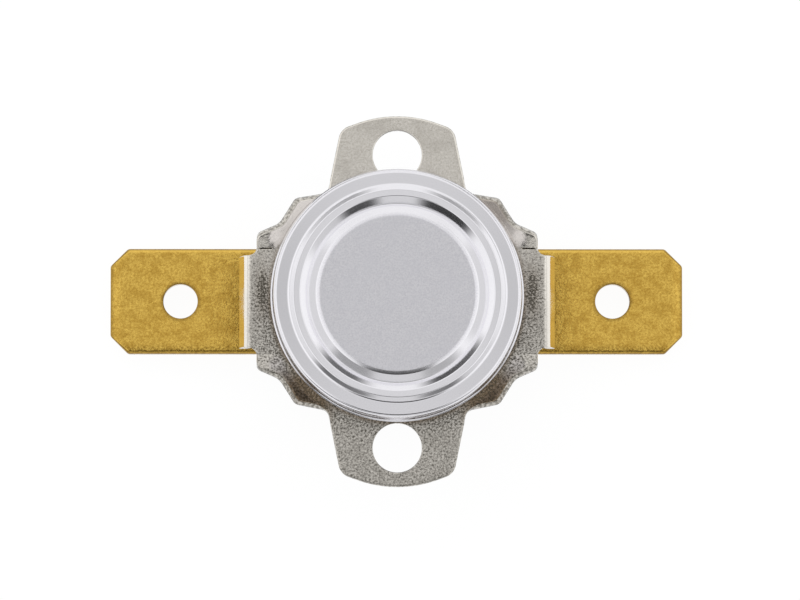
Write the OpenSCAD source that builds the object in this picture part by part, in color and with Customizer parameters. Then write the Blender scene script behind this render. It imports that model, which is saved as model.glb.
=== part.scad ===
// Snap-disc temperature switch: aluminium sensing cap, plated steel bracket, two brass blade terminals.
// Millimetres, +Z towards the sensing face, terminals along X, bracket ears along Y.
// The origin lies midway between the bracket's two holes, on the plane that the moulded body rests on.

/* [Terminals] */
// Distance between the two blade tips
blade_span = 34.2; // [30:0.2:44]
// Width of a blade
blade_w = 6.3; // [4.8:0.1:6.6]
// Thickness of a blade
blade_t = 0.8; // [0.5:0.05:1]
// Leg of the 45 degree chamfers at a blade's tip
blade_chamfer = 1.05; // [0.3:0.05:1.5]
// Length of the lead-in bevel at a blade's tip
blade_bevel_w = 0.6; // [0.3:0.05:1]
// Depth of the lead-in bevel, on both faces
blade_bevel_h = 0.12; // [0.04:0.02:0.24]
// Diameter of the latching hole in a blade
blade_hole_d = 2.05; // [1.2:0.05:2.4]
// Distance of the latching hole from the tip
blade_hole_inset = 4.18; // [3:0.02:5.5]

/* [Cap] */
// Diameter of the cap over its rolled rim
cap_d = 15; // [14:0.1:18]
// Sheet thickness of the cap
cap_wall = 0.4; // [0.3:0.05:0.5]
// Height of the cap's outer ring above the bracket
cap_h = 2.1; // [1.9:0.05:2.6]
// How much the side wall leans out, from its top to the rolled rim
cap_flare = 0.17; // [0.05:0.01:0.25]
// Radius of the cap's outer edge
cap_edge_r = 0.24; // [0.1:0.02:0.3]
// Width of the flat ring round the bead
ring_w = 0.96; // [0.8:0.02:1.2]
// Width of the raised bead's flat top
bead_w = 0.24; // [0.16:0.02:0.4]
// Height of the bead and of the sensing face above the ring
bead_rise = 0.2; // [0.1:0.02:0.3]
// Run of the groove's outer slope, from the bead down to the groove's bottom
groove_out_w = 0.6; // [0.5:0.02:0.8]
// Run of the groove's inner slope, from its bottom up to the sensing face
groove_in_w = 0.59; // [0.45:0.02:0.8]
// Depth of the groove below the ring
groove_depth = 0.2; // [0.1:0.02:0.26]

/* [Bracket] */
// Sheet thickness of the bracket
sheet_t = 0.5; // [0.4:0.05:0.6]
// Diameter of an ear hole
ear_hole_d = 2.9; // [2.2:0.1:3.2]
// Metal left between the bracket's large hole and an ear hole
ear_web = 0.27; // [0.16:0.01:1.6]
// Metal left between an ear hole and the ear's tip
ear_rim = 0.85; // [0.6:0.05:2]
// Width of an ear at its outer corners
ear_tip_w = 6.7; // [5.6:0.1:7.2]
// Radius of an ear's rounded end
ear_end_r = 7; // [5:0.5:12]
// Width of the lugs that are bent down over the blades
lug_w = 5.44; // [4.4:0.02:6]
// Angle that the lugs are bent down by
lug_angle = 78; // [40:1:85]
// Straight length of a lug past its bend
lug_flap = 1.3; // [0.6:0.05:1.8]
// Slope of the four corner flanges, which rise away from the cap
flange_angle = 32; // [10:1:45]
// Slope of each flange where it is folded up beside a wing
fold_angle = 26; // [8:1:40]
// Distance between the fold lines at the two sides of a wing
fold_w = 6.5; // [6:0.1:7]
// How far a wing reaches past the cap before its sides step in to the lug
wing_reach = 0.78; // [0.6:0.02:1]
// How far past the cap a lug's bend starts
lug_reach = 1.04; // [0.9:0.02:1.4]
// How far a corner flange reaches past the cap at its point beside the wing
flange_point = 1.72; // [1.5:0.02:2]
// How far it reaches in the hollow next to that point
flange_hollow = 0.86; // [0.7:0.02:1.1]
// How far it reaches on its second crest
flange_crest = 1.08; // [0.96:0.02:1.4]
// How far it reaches where it runs into the ear
flange_root = 0.16; // [0.1:0.02:0.5]
// How far the loose bracket has settled to one side of the body within its play
bracket_play = 0.35; // [0:0.05:0.4]

/* [Body] */
// Height of the bracket's seat above the blades
seat_h = 5.4; // [5:0.1:8]
// Thickness of the floor that the rivets go through
floor_t = 2.4; // [1.2:0.1:2.6]
// Wall of the contact chamber at the body's neck
body_wall = 0.9; // [0.6:0.05:1.2]
// Width of the shoulder that the bracket rests on
shoulder_w = 0.22; // [0.16:0.02:0.8]
// Chamfer round the body's base
base_chamfer = 0.3; // [0.1:0.05:0.5]

/* [Switch] */
// Thickness of the bimetal disc
disc_t = 0.2; // [0.12:0.02:0.28]
// Height of the disc's dome; it snaps through to the same depth below its rim
disc_dome = 0.25; // [0.16:0.01:0.3]
// Thickness of the pin guide's web
web_t = 0.8; // [0.5:0.05:1]
// Diameter of the push pin, as a share of the chamber's diameter
pin_share = 0.13; // [0.1:0.01:0.15]
// Thickness of the contact arm
arm_t = 0.2; // [0.12:0.01:0.3]
// Diameter of a contact button, as a share of the chamber's diameter
contact_share = 0.14; // [0.11:0.01:0.15]
// Height of a contact button
contact_h = 0.4; // [0.25:0.05:0.5]
// Thickness of the fixed contact's plate
plate_t = 0.5; // [0.3:0.05:0.6]
// Width of the fixed contact's plate
plate_w = 2.4; // [2:0.1:3]
// Shank diameter of the terminal rivets, as a share of the chamber's diameter
rivet_share = 0.105; // [0.08:0.005:0.115]
// Height of a rivet's head
rivet_head_h = 0.5; // [0.3:0.05:0.6]

/* [Hidden] */
$fn = 96;

// Named clearances and small fixed details
press_gap = 0.05;
running_gap = 0.05;
part_gap = 0.12;
air_gap = 0.25;
touch_gap = 0.02;
cut_past = 1;
chord_lap = 0.1;
pin_gap = 0.1;
fold_gap = 0.18;
blade_side_gap = 0.1;
blade_end_margin = 0.2;
rivet_recess = 0.25;
head_overhang = 0.25;
foot_overhang = 0.5;
pad_margin = 0.15;
arm_foot_margin = 0.35;
rim_roll_r = 0.3;
lip_t = 0.35;
lip_overlap = 0.3;
rim_wall = 0.55;
recess_depth = 0.85;
guide_flange_t = 0.25;
disc_seat_w = 0.6;
ring_fillet_r = 0.12;
face_fillet_r = 0.42;
groove_fillet_r = 0.06;
notch_r = 0.5;
lug_bend_r = 0.05;
ear_corner_r = 0.9;
ear_end_half_angle = 20;
flange_angles = [26, 33.5, 45.3, 57.6];
flange_point_r = 0.4;
flange_hollow_r = 1;
flange_crest_r = 0.5;
flange_root_r = 0.5;
plate_fold_r = 0.1;
button_edge_r = 0.12;
tail_h = 0.1;

// Radii, from the cap inwards
cap_r = cap_d / 2;
cap_top_r = cap_r - cap_flare;
skirt_r = cap_top_r - cap_wall;
rim_r = skirt_r - press_gap;
lip_r = rim_r - lip_overlap;
neck_r = lip_r - part_gap;
chamber_r = neck_r - body_wall;
recess_r = rim_r - rim_wall;
guide_r = recess_r - press_gap;
disc_r = guide_r - part_gap;
seat_r = disc_r - disc_seat_w;
bracket_hole_r = rim_r + press_gap;
body_r = bracket_hole_r + shoulder_w;
ring_in_r = cap_top_r - ring_w;
bead_out_r = ring_in_r - 1.2 * bead_rise;
bead_in_r = bead_out_r - bead_w;
groove_r = bead_in_r - groove_out_w;
face_r = groove_r - groove_in_w;
pin_r = pin_share * chamber_r;
contact_r = contact_share * chamber_r;
rivet_r = rivet_share * chamber_r;
rivet_head_r = rivet_r + head_overhang;
rivet_foot_r = rivet_r + foot_overhang;

// Heights, from the base upwards
blade_z = rivet_recess + rivet_head_h;
channel_z = blade_z + blade_t;
floor_z = channel_z + floor_t;
shoulder_z = channel_z + seat_h;
bracket_z = shoulder_z + sheet_t;
lip_z = bracket_z + lip_t;
ring_z = bracket_z + cap_h;
face_z = ring_z + bead_rise;
groove_z = ring_z - groove_depth;
rim_z = ring_z - cap_wall;
ledge_z = rim_z - recess_depth;
disc_z = ledge_z + guide_flange_t;
web_z = disc_z - disc_dome - part_gap - web_t;
plate_z = web_z - air_gap - tail_h - plate_t;
arm_top_z = plate_z - 2 * contact_h - touch_gap;
arm_z = arm_top_z - arm_t;
pad_z = arm_z - part_gap;
pin_top_z = disc_z + disc_dome - pin_gap;

// Places along X inside the chamber
plate_end_x = sqrt(pow(chamber_r - part_gap, 2) - pow(plate_w / 2, 2));
rivet_x = plate_end_x - plate_t - press_gap - rivet_head_r;
arm_tip_r = contact_r;
contact_x = rivet_x - rivet_head_r - air_gap - arm_tip_r;
arm_foot_r = rivet_head_r + arm_foot_margin;
pad_r = rivet_head_r + pad_margin;
blade_end_x = rivet_x - rivet_foot_r - blade_end_margin;

// Bracket places, measured from its own centre
wing_x = cap_r + wing_reach;
lug_bend_x = cap_r + lug_reach;
lug_outer_r = lug_bend_r + sheet_t;
lug_reach_x = lug_bend_x + lug_outer_r + lug_flap;
fold_r = cap_r + fold_gap;
fold_y = fold_w / 2;
ear_hole_y = bracket_hole_r + ear_web + ear_hole_d / 2;
ear_tip_y = ear_hole_y + ear_hole_d / 2 + ear_rim;
ear_apex_y = ear_tip_y - ear_end_r + ear_end_r / cos(ear_end_half_angle);
ear_corner_x = ear_tip_w / 2;
ear_corner_y = ear_apex_y - ear_corner_x * tan(ear_end_half_angle);
form_reach = 3 * cap_r;
form_h = 3;

// Corners of a flange's outline: reach past the cap and rounding radius, in the order of flange_angles
flange_reaches = [flange_point, flange_hollow, flange_crest, flange_root];
flange_rounds = [flange_point_r, flange_hollow_r, flange_crest_r, flange_root_r];
flange_points = [
    for (i = [0 : len(flange_angles) - 1])
        let (r = cap_r + flange_reaches[i], a = flange_angles[i]) [r * cos(a), r * sin(a), flange_rounds[i]]
];
ear_root_x = flange_points[3][0];
bracket_quadrant = concat(
    [[lug_reach_x, lug_w / 2, 0], [wing_x, lug_w / 2, notch_r]],
    flange_points,
    [[ear_corner_x, ear_corner_y, ear_corner_r]]
);

// Where a round of radius r touches the two sides of the corner b between a and c
function unit(v) = v / norm(v);
function xy(p) = [p[0], p[1]];
function turn(a, b, c) = cross(xy(b) - xy(a), xy(c) - xy(b));
function half_corner(a, b, c) = acos(unit(xy(a) - xy(b)) * unit(xy(c) - xy(b))) / 2;
function touch_point(b, side, half) = xy(b) + unit(xy(side) - xy(b)) * b[2] / tan(half);
function round_centre(a, b, c, half) =
    xy(b) + unit(unit(xy(a) - xy(b)) + unit(xy(c) - xy(b))) * b[2] / sin(half);

// The segment of a corner's round that lies past its chord, with a little of the near side
module corner_segment(a, b, c) {
    half = half_corner(a, b, c);
    centre = round_centre(a, b, c, half);
    first = touch_point(b, a, half);
    second = touch_point(b, c, half);
    chord_mid = (first + second) / 2;
    intersection() {
        translate(centre) circle(r = b[2]);
        polygon([first, xy(b), second, chord_mid + chord_lap * (centre - chord_mid)]);
    }
}

// A closed outline whose corners [x, y, r], listed anticlockwise, are rounded by true arcs
module rounded_outline(corners) {
    n = len(corners);
    before = [for (i = [0 : n - 1]) corners[(i + n - 1) % n]];
    after = [for (i = [0 : n - 1]) corners[(i + 1) % n]];
    rounded = [for (i = [0 : n - 1]) if (corners[i][2] > 0) i];
    outer = [for (i = rounded) if (turn(before[i], corners[i], after[i]) > 0) i];
    inner = [for (i = rounded) if (turn(before[i], corners[i], after[i]) < 0) i];
    chords = [
        for (i = [0 : n - 1])
            let (half = half_corner(before[i], corners[i], after[i]))
                each corners[i][2] > 0
                    ? [touch_point(corners[i], before[i], half), touch_point(corners[i], after[i], half)]
                    : [xy(corners[i])]
    ];
    difference() {
        union() {
            polygon(chords);
            for (i = outer) corner_segment(before[i], corners[i], after[i]);
        }
        for (i = inner) corner_segment(before[i], corners[i], after[i]);
    }
}

// Both halves of something that is alike on the +X and -X sides
module both_sides() {
    children();
    mirror([1, 0, 0]) children();
}

// The switch itself stands off the bracket's centre by the bracket's play
module core() {
    translate([0, bracket_play, 0]) children();
}

module cap() {
    color("gainsboro") core() rotate_extrude()
        rounded_outline([
            [0, face_z - cap_wall, 0],
            [face_r - cap_wall / 2, face_z - cap_wall, 0],
            [groove_r, groove_z - cap_wall, 0],
            [bead_in_r, face_z - cap_wall, 0],
            [bead_out_r, face_z - cap_wall, 0],
            [ring_in_r, rim_z, 0],
            [skirt_r, rim_z, 0],
            [skirt_r, lip_z, 0],
            [lip_r, lip_z, 0],
            [lip_r, bracket_z, 0],
            [cap_r, bracket_z, rim_roll_r],
            [cap_top_r, ring_z, cap_edge_r],
            [ring_in_r, ring_z, ring_fillet_r],
            [bead_out_r, face_z, ring_fillet_r],
            [bead_in_r, face_z, ring_fillet_r],
            [groove_r, groove_z, groove_fillet_r],
            [face_r, face_z, face_fillet_r],
            [0, face_z, 0]
        ]);
}

// Outline of the bracket seen from above, with its lugs bent down and its flanges raised
module bracket_outline() {
    quadrant = bracket_quadrant;
    last = len(quadrant) - 1;
    left = [for (i = [last : -1 : 0]) [-quadrant[i][0], quadrant[i][1], quadrant[i][2]]];
    upper = concat(quadrant, [[0, ear_apex_y, ear_end_r]], left);
    lower = [for (p = upper) [-p[0], -p[1], p[2]]];
    rounded_outline(concat(upper, lower));
}

// Section along the wings, with the lug at each end bent down and its straight flap
module wing_section() {
    half_tan = tan(lug_angle / 2);
    down = [cos(lug_angle), -sin(lug_angle)];
    top_bend = [lug_bend_x + lug_outer_r * half_tan, 0, lug_outer_r];
    under_bend = [lug_bend_x + lug_bend_r * half_tan, -sheet_t, lug_bend_r];
    top_end = xy(top_bend) + (lug_outer_r * half_tan + lug_flap) * down;
    under_end = xy(under_bend) + (lug_bend_r * half_tan + lug_flap) * down;
    rounded_outline([
        [-under_bend[0], -sheet_t, lug_bend_r],
        under_bend,
        [under_end[0], under_end[1], 0],
        [top_end[0], top_end[1], 0],
        top_bend,
        [-top_bend[0], 0, lug_outer_r],
        [-top_end[0], top_end[1], 0],
        [-under_end[0], under_end[1], 0]
    ]);
}

// The space above a raised corner flange: a cone round the cap and a plane hinged on the fold line
module above_flange() {
    cylinder(r1 = fold_r, r2 = fold_r + form_h / tan(flange_angle), h = form_h);
    translate([0, fold_y, 0]) rotate([fold_angle, 0, 0]) translate([0, -form_h, 0])
        cube([form_reach, form_reach, form_reach]);
}

// One corner of the formed sheet, flat inside the cone's foot and rising outside it
module raised_corner() {
    difference() {
        translate([ear_root_x, fold_y, -sheet_t])
            cube([form_reach - ear_root_x, form_reach - fold_y, form_h]);
        above_flange();
        translate([0, 0, -sheet_t]) difference() {
            translate([0, 0, -form_h]) cube([form_reach, form_reach, 2 * form_h]);
            above_flange();
        }
    }
}

// The bracket's sheet before its outline is cut: flat ears, bent wings and raised corners
module formed_sheet() {
    translate([0, 0, -sheet_t]) linear_extrude(sheet_t) {
        square([2 * ear_root_x, 2 * ear_apex_y], center = true);
        circle(r = fold_r);
    }
    rotate([90, 0, 0]) linear_extrude(2 * fold_y, center = true) wing_section();
    both_sides() {
        raised_corner();
        mirror([0, 1, 0]) raised_corner();
    }
}

module bracket() {
    color("silver") translate([0, 0, bracket_z]) difference() {
        intersection() {
            formed_sheet();
            translate([0, 0, -form_h]) linear_extrude(2 * form_h) bracket_outline();
        }
        cylinder(r = bracket_hole_r, h = 2 * form_h, center = true);
        for (side = [-1, 1])
            translate([0, side * ear_hole_y, 0]) cylinder(d = ear_hole_d, h = 2 * form_h, center = true);
    }
}

// Turned section of the moulded body: drum, neck under the rolled lip, and rim inside the cap
module body_section() {
    polygon([
        [0, 0],
        [body_r - base_chamfer, 0],
        [body_r, base_chamfer],
        [body_r, shoulder_z],
        [neck_r, shoulder_z],
        [neck_r, lip_z],
        [rim_r, lip_z],
        [rim_r, rim_z],
        [recess_r, rim_z],
        [recess_r, ledge_z],
        [chamber_r, ledge_z],
        [chamber_r, floor_z],
        [0, floor_z]
    ]);
}

module body() {
    channel_w = blade_w + 2 * blade_side_gap;
    color("saddlebrown") core() difference() {
        union() {
            rotate_extrude() body_section();
            translate([-rivet_x, 0, channel_z]) cylinder(r = pad_r, h = pad_z - channel_z);
        }
        both_sides() {
            translate([blade_end_x - blade_side_gap, -channel_w / 2, -cut_past])
                cube([body_r, channel_w, channel_z + cut_past]);
            translate([rivet_x, 0, 0]) cylinder(r = rivet_r + running_gap, h = rim_z);
        }
    }
}

// A blade terminal on the +X side, lying in its channel under the body
module terminal() {
    tip_x = blade_span / 2;
    half_w = blade_w / 2;
    core() translate([0, 0, blade_z]) difference() {
        intersection() {
            linear_extrude(blade_t) polygon([
                [blade_end_x, -half_w],
                [tip_x - blade_chamfer, -half_w],
                [tip_x, blade_chamfer - half_w],
                [tip_x, half_w - blade_chamfer],
                [tip_x - blade_chamfer, half_w],
                [blade_end_x, half_w]
            ]);
            rotate([90, 0, 0]) linear_extrude(blade_w + 2 * cut_past, center = true) polygon([
                [blade_end_x - cut_past, 0],
                [tip_x - blade_bevel_w, 0],
                [tip_x, blade_bevel_h],
                [tip_x, blade_t - blade_bevel_h],
                [tip_x - blade_bevel_w, blade_t],
                [blade_end_x - cut_past, blade_t]
            ]);
        }
        translate([tip_x - blade_hole_inset, 0, -cut_past])
            cylinder(d = blade_hole_d, h = blade_t + 2 * cut_past);
        translate([rivet_x, 0, -cut_past])
            cylinder(r = rivet_r + running_gap, h = blade_t + 2 * cut_past);
    }
}

module terminal_left() {
    color("goldenrod") mirror([1, 0, 0]) terminal();
}

module terminal_right() {
    color("goldenrod") terminal();
}

// A rivet with a low round head under the blade and a second one closed over what it holds
module rivet(top_z) {
    foot_z = blade_z - rivet_head_h;
    edge_r = rivet_head_h / 2;
    rotate_extrude() rounded_outline([
        [0, foot_z, 0],
        [rivet_foot_r, foot_z, edge_r],
        [rivet_foot_r, blade_z, 0],
        [rivet_r, blade_z, 0],
        [rivet_r, top_z, 0],
        [rivet_head_r, top_z, 0],
        [rivet_head_r, top_z + rivet_head_h, edge_r],
        [0, top_z + rivet_head_h, 0]
    ]);
}

module rivet_left() {
    color("darkgoldenrod") core() translate([-rivet_x, 0, 0]) rivet(arm_top_z + part_gap);
}

module rivet_right() {
    color("darkgoldenrod") core() translate([rivet_x, 0, 0]) rivet(floor_z + plate_t);
}

// The insulating guide over the chamber, with the disc's seat and the push pin's bore
module pin_guide() {
    spigot_r = chamber_r - press_gap;
    dish_z = web_z + web_t;
    color("ivory") core() rotate_extrude() polygon([
        [pin_r + running_gap, web_z],
        [spigot_r, web_z],
        [spigot_r, ledge_z],
        [guide_r, ledge_z],
        [guide_r, disc_z],
        [seat_r, disc_z],
        [seat_r, dish_z],
        [pin_r + running_gap, dish_z]
    ]);
}

// The bimetal disc at rest: a shallow dome that stands off the push pin
module bimetal_disc() {
    curve_r = (disc_r * disc_r + disc_dome * disc_dome) / (2 * disc_dome);
    centre_z = disc_z + disc_dome - curve_r;
    color("slategray") core() intersection() {
        translate([0, 0, centre_z]) difference() {
            sphere(r = curve_r + disc_t);
            sphere(r = curve_r);
        }
        translate([0, 0, disc_z - cut_past]) cylinder(r = disc_r, h = rim_z - disc_z + cut_past);
    }
}

// The ceramic push pin, with crowned ends
module push_pin() {
    bottom_z = arm_top_z + touch_gap;
    crown_r = 2 * pin_r;
    color("white") core() intersection() {
        translate([0, 0, bottom_z]) cylinder(r = pin_r, h = pin_top_z - bottom_z);
        translate([0, 0, bottom_z + crown_r]) sphere(r = crown_r);
        translate([0, 0, pin_top_z - crown_r]) sphere(r = crown_r);
    }
}

// The spring arm, loose enough round its rivet to rock there
module contact_arm() {
    color("peru") core() translate([0, 0, arm_z]) linear_extrude(arm_t) difference() {
        union() {
            translate([-rivet_x, 0]) circle(r = arm_foot_r);
            translate([-rivet_x, -arm_tip_r]) square([rivet_x + contact_x, 2 * arm_tip_r]);
            translate([contact_x, 0]) circle(r = arm_tip_r);
        }
        translate([-rivet_x, 0]) circle(r = rivet_r + part_gap);
        translate([contact_x, 0]) circle(r = contact_r / 2);
    }
}

// A contact button whose shank is closed behind a sheet of thickness hold_t; its face looks along +Z
module contact_button(hold_t) {
    shank_r = contact_r / 2;
    tail_r = contact_r * 0.75;
    rotate_extrude() rounded_outline([
        [0, -hold_t - tail_h, 0],
        [tail_r, -hold_t - tail_h, 0],
        [tail_r, -hold_t, 0],
        [shank_r, -hold_t, 0],
        [shank_r, 0, 0],
        [contact_r, 0, 0],
        [contact_r, contact_h, button_edge_r],
        [0, contact_h, 0]
    ]);
}

module moving_contact() {
    color("whitesmoke") core() translate([contact_x, 0, arm_top_z]) contact_button(arm_t);
}

module fixed_contact() {
    color("whitesmoke") core() translate([contact_x, 0, plate_z]) mirror([0, 0, 1]) contact_button(plate_t);
}

// The folded plate that holds the fixed contact above the arm
module contact_plate() {
    foot_x = rivet_x - rivet_head_r;
    leaf_x = contact_x - contact_r;
    top_z = plate_z + plate_t;
    fold_out_r = plate_t + plate_fold_r;
    color("goldenrod") core() difference() {
        rotate([90, 0, 0]) linear_extrude(plate_w, center = true) rounded_outline([
            [foot_x, floor_z, 0],
            [plate_end_x, floor_z, fold_out_r],
            [plate_end_x, top_z, fold_out_r],
            [leaf_x, top_z, 0],
            [leaf_x, plate_z, 0],
            [plate_end_x - plate_t, plate_z, fold_out_r - plate_t],
            [plate_end_x - plate_t, floor_z + plate_t, fold_out_r - plate_t],
            [foot_x, floor_z + plate_t, 0]
        ]);
        translate([rivet_x, 0, floor_z - cut_past])
            cylinder(r = rivet_r + running_gap, h = plate_t + 2 * cut_past);
        translate([contact_x, 0, plate_z - cut_past])
            cylinder(r = contact_r / 2, h = plate_t + 2 * cut_past);
    }
}

cap();
bracket();
body();
terminal_left();
terminal_right();
rivet_left();
rivet_right();
pin_guide();
bimetal_disc();
push_pin();
contact_arm();
moving_contact();
contact_plate();
fixed_contact();
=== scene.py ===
"""Looks of a snap disc temperature switch: aluminium cap, nickel plated bracket, brass blades.

Lengths in the classes are millimetres, as in the part's source; meshes are made in metres.
"""

import logging
import math
from dataclasses import dataclass, field
from enum import Enum
from typing import Callable, Iterable, Sequence

import bmesh
import bpy
import numpy as np
from mathutils import Matrix, Vector
from mathutils.geometry import delaunay_2d_cdt

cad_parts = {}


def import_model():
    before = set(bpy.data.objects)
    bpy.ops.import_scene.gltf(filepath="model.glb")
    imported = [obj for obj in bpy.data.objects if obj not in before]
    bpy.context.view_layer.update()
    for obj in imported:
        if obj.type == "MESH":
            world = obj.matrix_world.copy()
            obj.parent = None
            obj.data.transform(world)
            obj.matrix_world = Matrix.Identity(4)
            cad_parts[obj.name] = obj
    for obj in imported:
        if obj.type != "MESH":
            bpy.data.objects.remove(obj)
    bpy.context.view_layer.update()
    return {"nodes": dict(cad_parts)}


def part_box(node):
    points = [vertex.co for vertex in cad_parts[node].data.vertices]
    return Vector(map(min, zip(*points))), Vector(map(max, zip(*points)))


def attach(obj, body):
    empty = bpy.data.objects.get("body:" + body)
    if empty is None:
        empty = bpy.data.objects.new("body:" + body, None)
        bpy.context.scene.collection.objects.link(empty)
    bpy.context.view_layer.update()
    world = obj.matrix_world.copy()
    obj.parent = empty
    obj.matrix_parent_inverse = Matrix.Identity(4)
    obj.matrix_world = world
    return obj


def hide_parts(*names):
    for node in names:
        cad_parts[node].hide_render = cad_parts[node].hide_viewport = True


logging.basicConfig(level=logging.INFO, format="%(levelname)s %(message)s")
LOG = logging.getLogger("temperature_switch")

MM = 0.001
TINY = 1e-9
WHITE = (1.0, 1.0, 1.0, 1.0)
HOUSING = "housing"

Points = np.ndarray
Colour = tuple[float, float, float]


class Slot(Enum):
    """Material slots of the record that the pieces take their finish from."""

    CAP = "cap_aluminium"
    BRACKET = "bracket_steel"
    BODY = "body_phenolic"
    BLADE = "terminal_brass"
    RIVET = "rivet_brass"
    GUIDE = "guide_ceramic"
    PIN = "pin_ceramic"
    DISC = "disc_bimetal"
    ARM = "arm_bronze"
    CONTACT = "contact_silver"


class Grain(Enum):
    """Direction of a surface's fine marks, as stretch factors along X, Y and Z."""

    EVEN = (1.0, 1.0, 1.0)
    ALONG_X = (0.12, 1.0, 1.0)
    ALONG_Z = (1.0, 1.0, 0.15)


class Mark(Enum):
    """Values stored on a piece's points, which the finishes read."""

    CUT = "cut_edge"
    WORKED = "worked_metal"
    # Painted shade on the bracket; on the blades a darker band along every edge.
    SHADE_AND_DARK_EDGES = "painted_shade_and_dark_edges"
    # Painted shade that darkens the bracket and the blades towards the front.
    FRONT_SHADE = "painted_front_shade"
    # Dark specks: scuffs on the wings and front, painted shade beside the cap and in the wing patches.
    SCUFFS_AND_SHADE = "scuffs_and_painted_shade"


class Graph:
    """Adds nodes to a node tree and joins them."""

    def __init__(self, tree: bpy.types.NodeTree) -> None:
        """Starts from an empty tree."""
        self.tree = tree
        tree.nodes.clear()

    def add(self, kind: str, inputs: dict | None = None, **settings) -> bpy.types.Node:
        """Adds a node.

        Args:
            kind: The node's type name.
            inputs: Socket name or number to a value, or to another node's output.
            settings: The node's own properties.

        Returns:
            The new node.
        """
        node = self.tree.nodes.new(kind)
        for name, value in settings.items():
            setattr(node, name, value)
        for key, value in (inputs or {}).items():
            self.feed(node.inputs[key], value)
        return node

    def feed(self, socket: bpy.types.NodeSocket, value: object) -> None:
        """Joins an output to the socket, or sets the socket's own value.

        Args:
            socket: The input to feed.
            value: Another node's output, or a plain value.
        """
        if isinstance(value, bpy.types.NodeSocket):
            self.tree.links.new(value, socket)
        else:
            socket.default_value = value

    def math(self, operation: str, *values: object) -> bpy.types.NodeSocket:
        """Adds a Math node and returns its output."""
        node = self.add("ShaderNodeMath", dict(enumerate(values)), operation=operation)
        return node.outputs[0]

    def ramp(self, value: object, low: float, high: float, out_low: float = 0.0,
             out_high: float = 1.0, smooth: bool = True) -> bpy.types.NodeSocket:
        """Maps a value from one range to another, held at the ends.

        Args:
            value: What is mapped.
            low: Start of the range read.
            high: End of the range read.
            out_low: Result at low.
            out_high: Result at high.
            smooth: Whether the step is eased at both ends.

        Returns:
            The mapped output.
        """
        kind = "SMOOTHSTEP" if smooth else "LINEAR"
        node = self.add("ShaderNodeMapRange", {0: value, 1: low, 2: high, 3: out_low, 4: out_high},
                        interpolation_type=kind)
        return node.outputs[0]

    def window(self, value: object, low: float, high: float, soft: float) -> bpy.types.NodeSocket:
        """Gives 1 between two values and fades to 0 outside them.

        Args:
            value: What is tested.
            low: Where the window starts.
            high: Where the window ends.
            soft: How far the fade runs beyond each end.

        Returns:
            The window's output.
        """
        start = self.ramp(value, low - soft, low)
        return self.math("MULTIPLY", start, self.ramp(value, high + soft, high))

    def mix(self, factor: object, first: object, second: object) -> bpy.types.NodeSocket:
        """Mixes two colours and returns the colour output.

        Args:
            factor: Share of the second colour.
            first: A colour, or an output that gives one.
            second: A colour, or an output that gives one.

        Returns:
            The mixed colour.
        """
        node = self.add("ShaderNodeMix", {0: factor}, data_type="RGBA")
        for socket, colour in ((6, first), (7, second)):
            self.feed(node.inputs[socket], (*colour, 1.0) if isinstance(colour, tuple) else colour)
        return node.outputs[2]

    def mark(self, mark: Mark) -> bpy.types.NodeSocket:
        """Reads a value that is stored on the piece's points."""
        return self.add("ShaderNodeAttribute", attribute_name=mark.value).outputs["Fac"]

    def place_mm(self, grain: Grain = Grain.EVEN) -> bpy.types.NodeSocket:
        """Returns the place on the piece in millimetres, drawn out along a grain.

        Args:
            grain: Direction that a pattern is drawn out along.

        Returns:
            The place's output.
        """
        place = self.add("ShaderNodeTexCoord").outputs["Object"]
        scale = tuple(stretch / MM for stretch in grain.value)
        return self.add("ShaderNodeMapping", {"Vector": place, "Scale": scale}).outputs[0]

    def noise(self, place: bpy.types.NodeSocket, scale: float, detail: float,
              roughness: float = 0.5) -> bpy.types.NodeSocket:
        """Adds a cloudy noise and returns its value.

        Args:
            place: Where the noise is read.
            scale: Features to a unit of length.
            detail: Number of finer layers.
            roughness: Share of the finer layers.

        Returns:
            The noise's value.
        """
        node = self.add("ShaderNodeTexNoise", {
            "Vector": place, "Scale": scale, "Detail": detail, "Roughness": roughness})
        return node.outputs[0]


class Finish:
    """A surface finish that makes its material once."""

    name: str

    def material(self) -> bpy.types.Material:
        """Returns the finish's material, built the first time.

        Returns:
            The material, shared by all pieces of this finish.
        """
        found = bpy.data.materials.get(self.name)
        if found is not None:
            return found
        made = bpy.data.materials.new(self.name)
        made.use_nodes = True
        self.paint(Graph(made.node_tree))
        return made

    def paint(self, graph: Graph) -> None:
        """Adds the finish's nodes."""
        raise NotImplementedError

    def dress(self, piece: bpy.types.Object) -> None:
        """Gives a piece this finish on all its faces."""
        piece.data.materials.clear()
        piece.data.materials.append(self.material())

    @staticmethod
    def close(graph: Graph, relief: dict, surface: dict) -> None:
        """Adds the last nodes of a material.

        Args:
            graph: The material's nodes.
            relief: Inputs of the bump.
            surface: Inputs of the shader, apart from its normal.
        """
        bump = graph.add("ShaderNodeBump", relief)
        shader = graph.add("ShaderNodeBsdfPrincipled", {**surface, "Normal": bump.outputs[0]})
        graph.add("ShaderNodeOutputMaterial", {"Surface": shader.outputs[0]})


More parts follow.
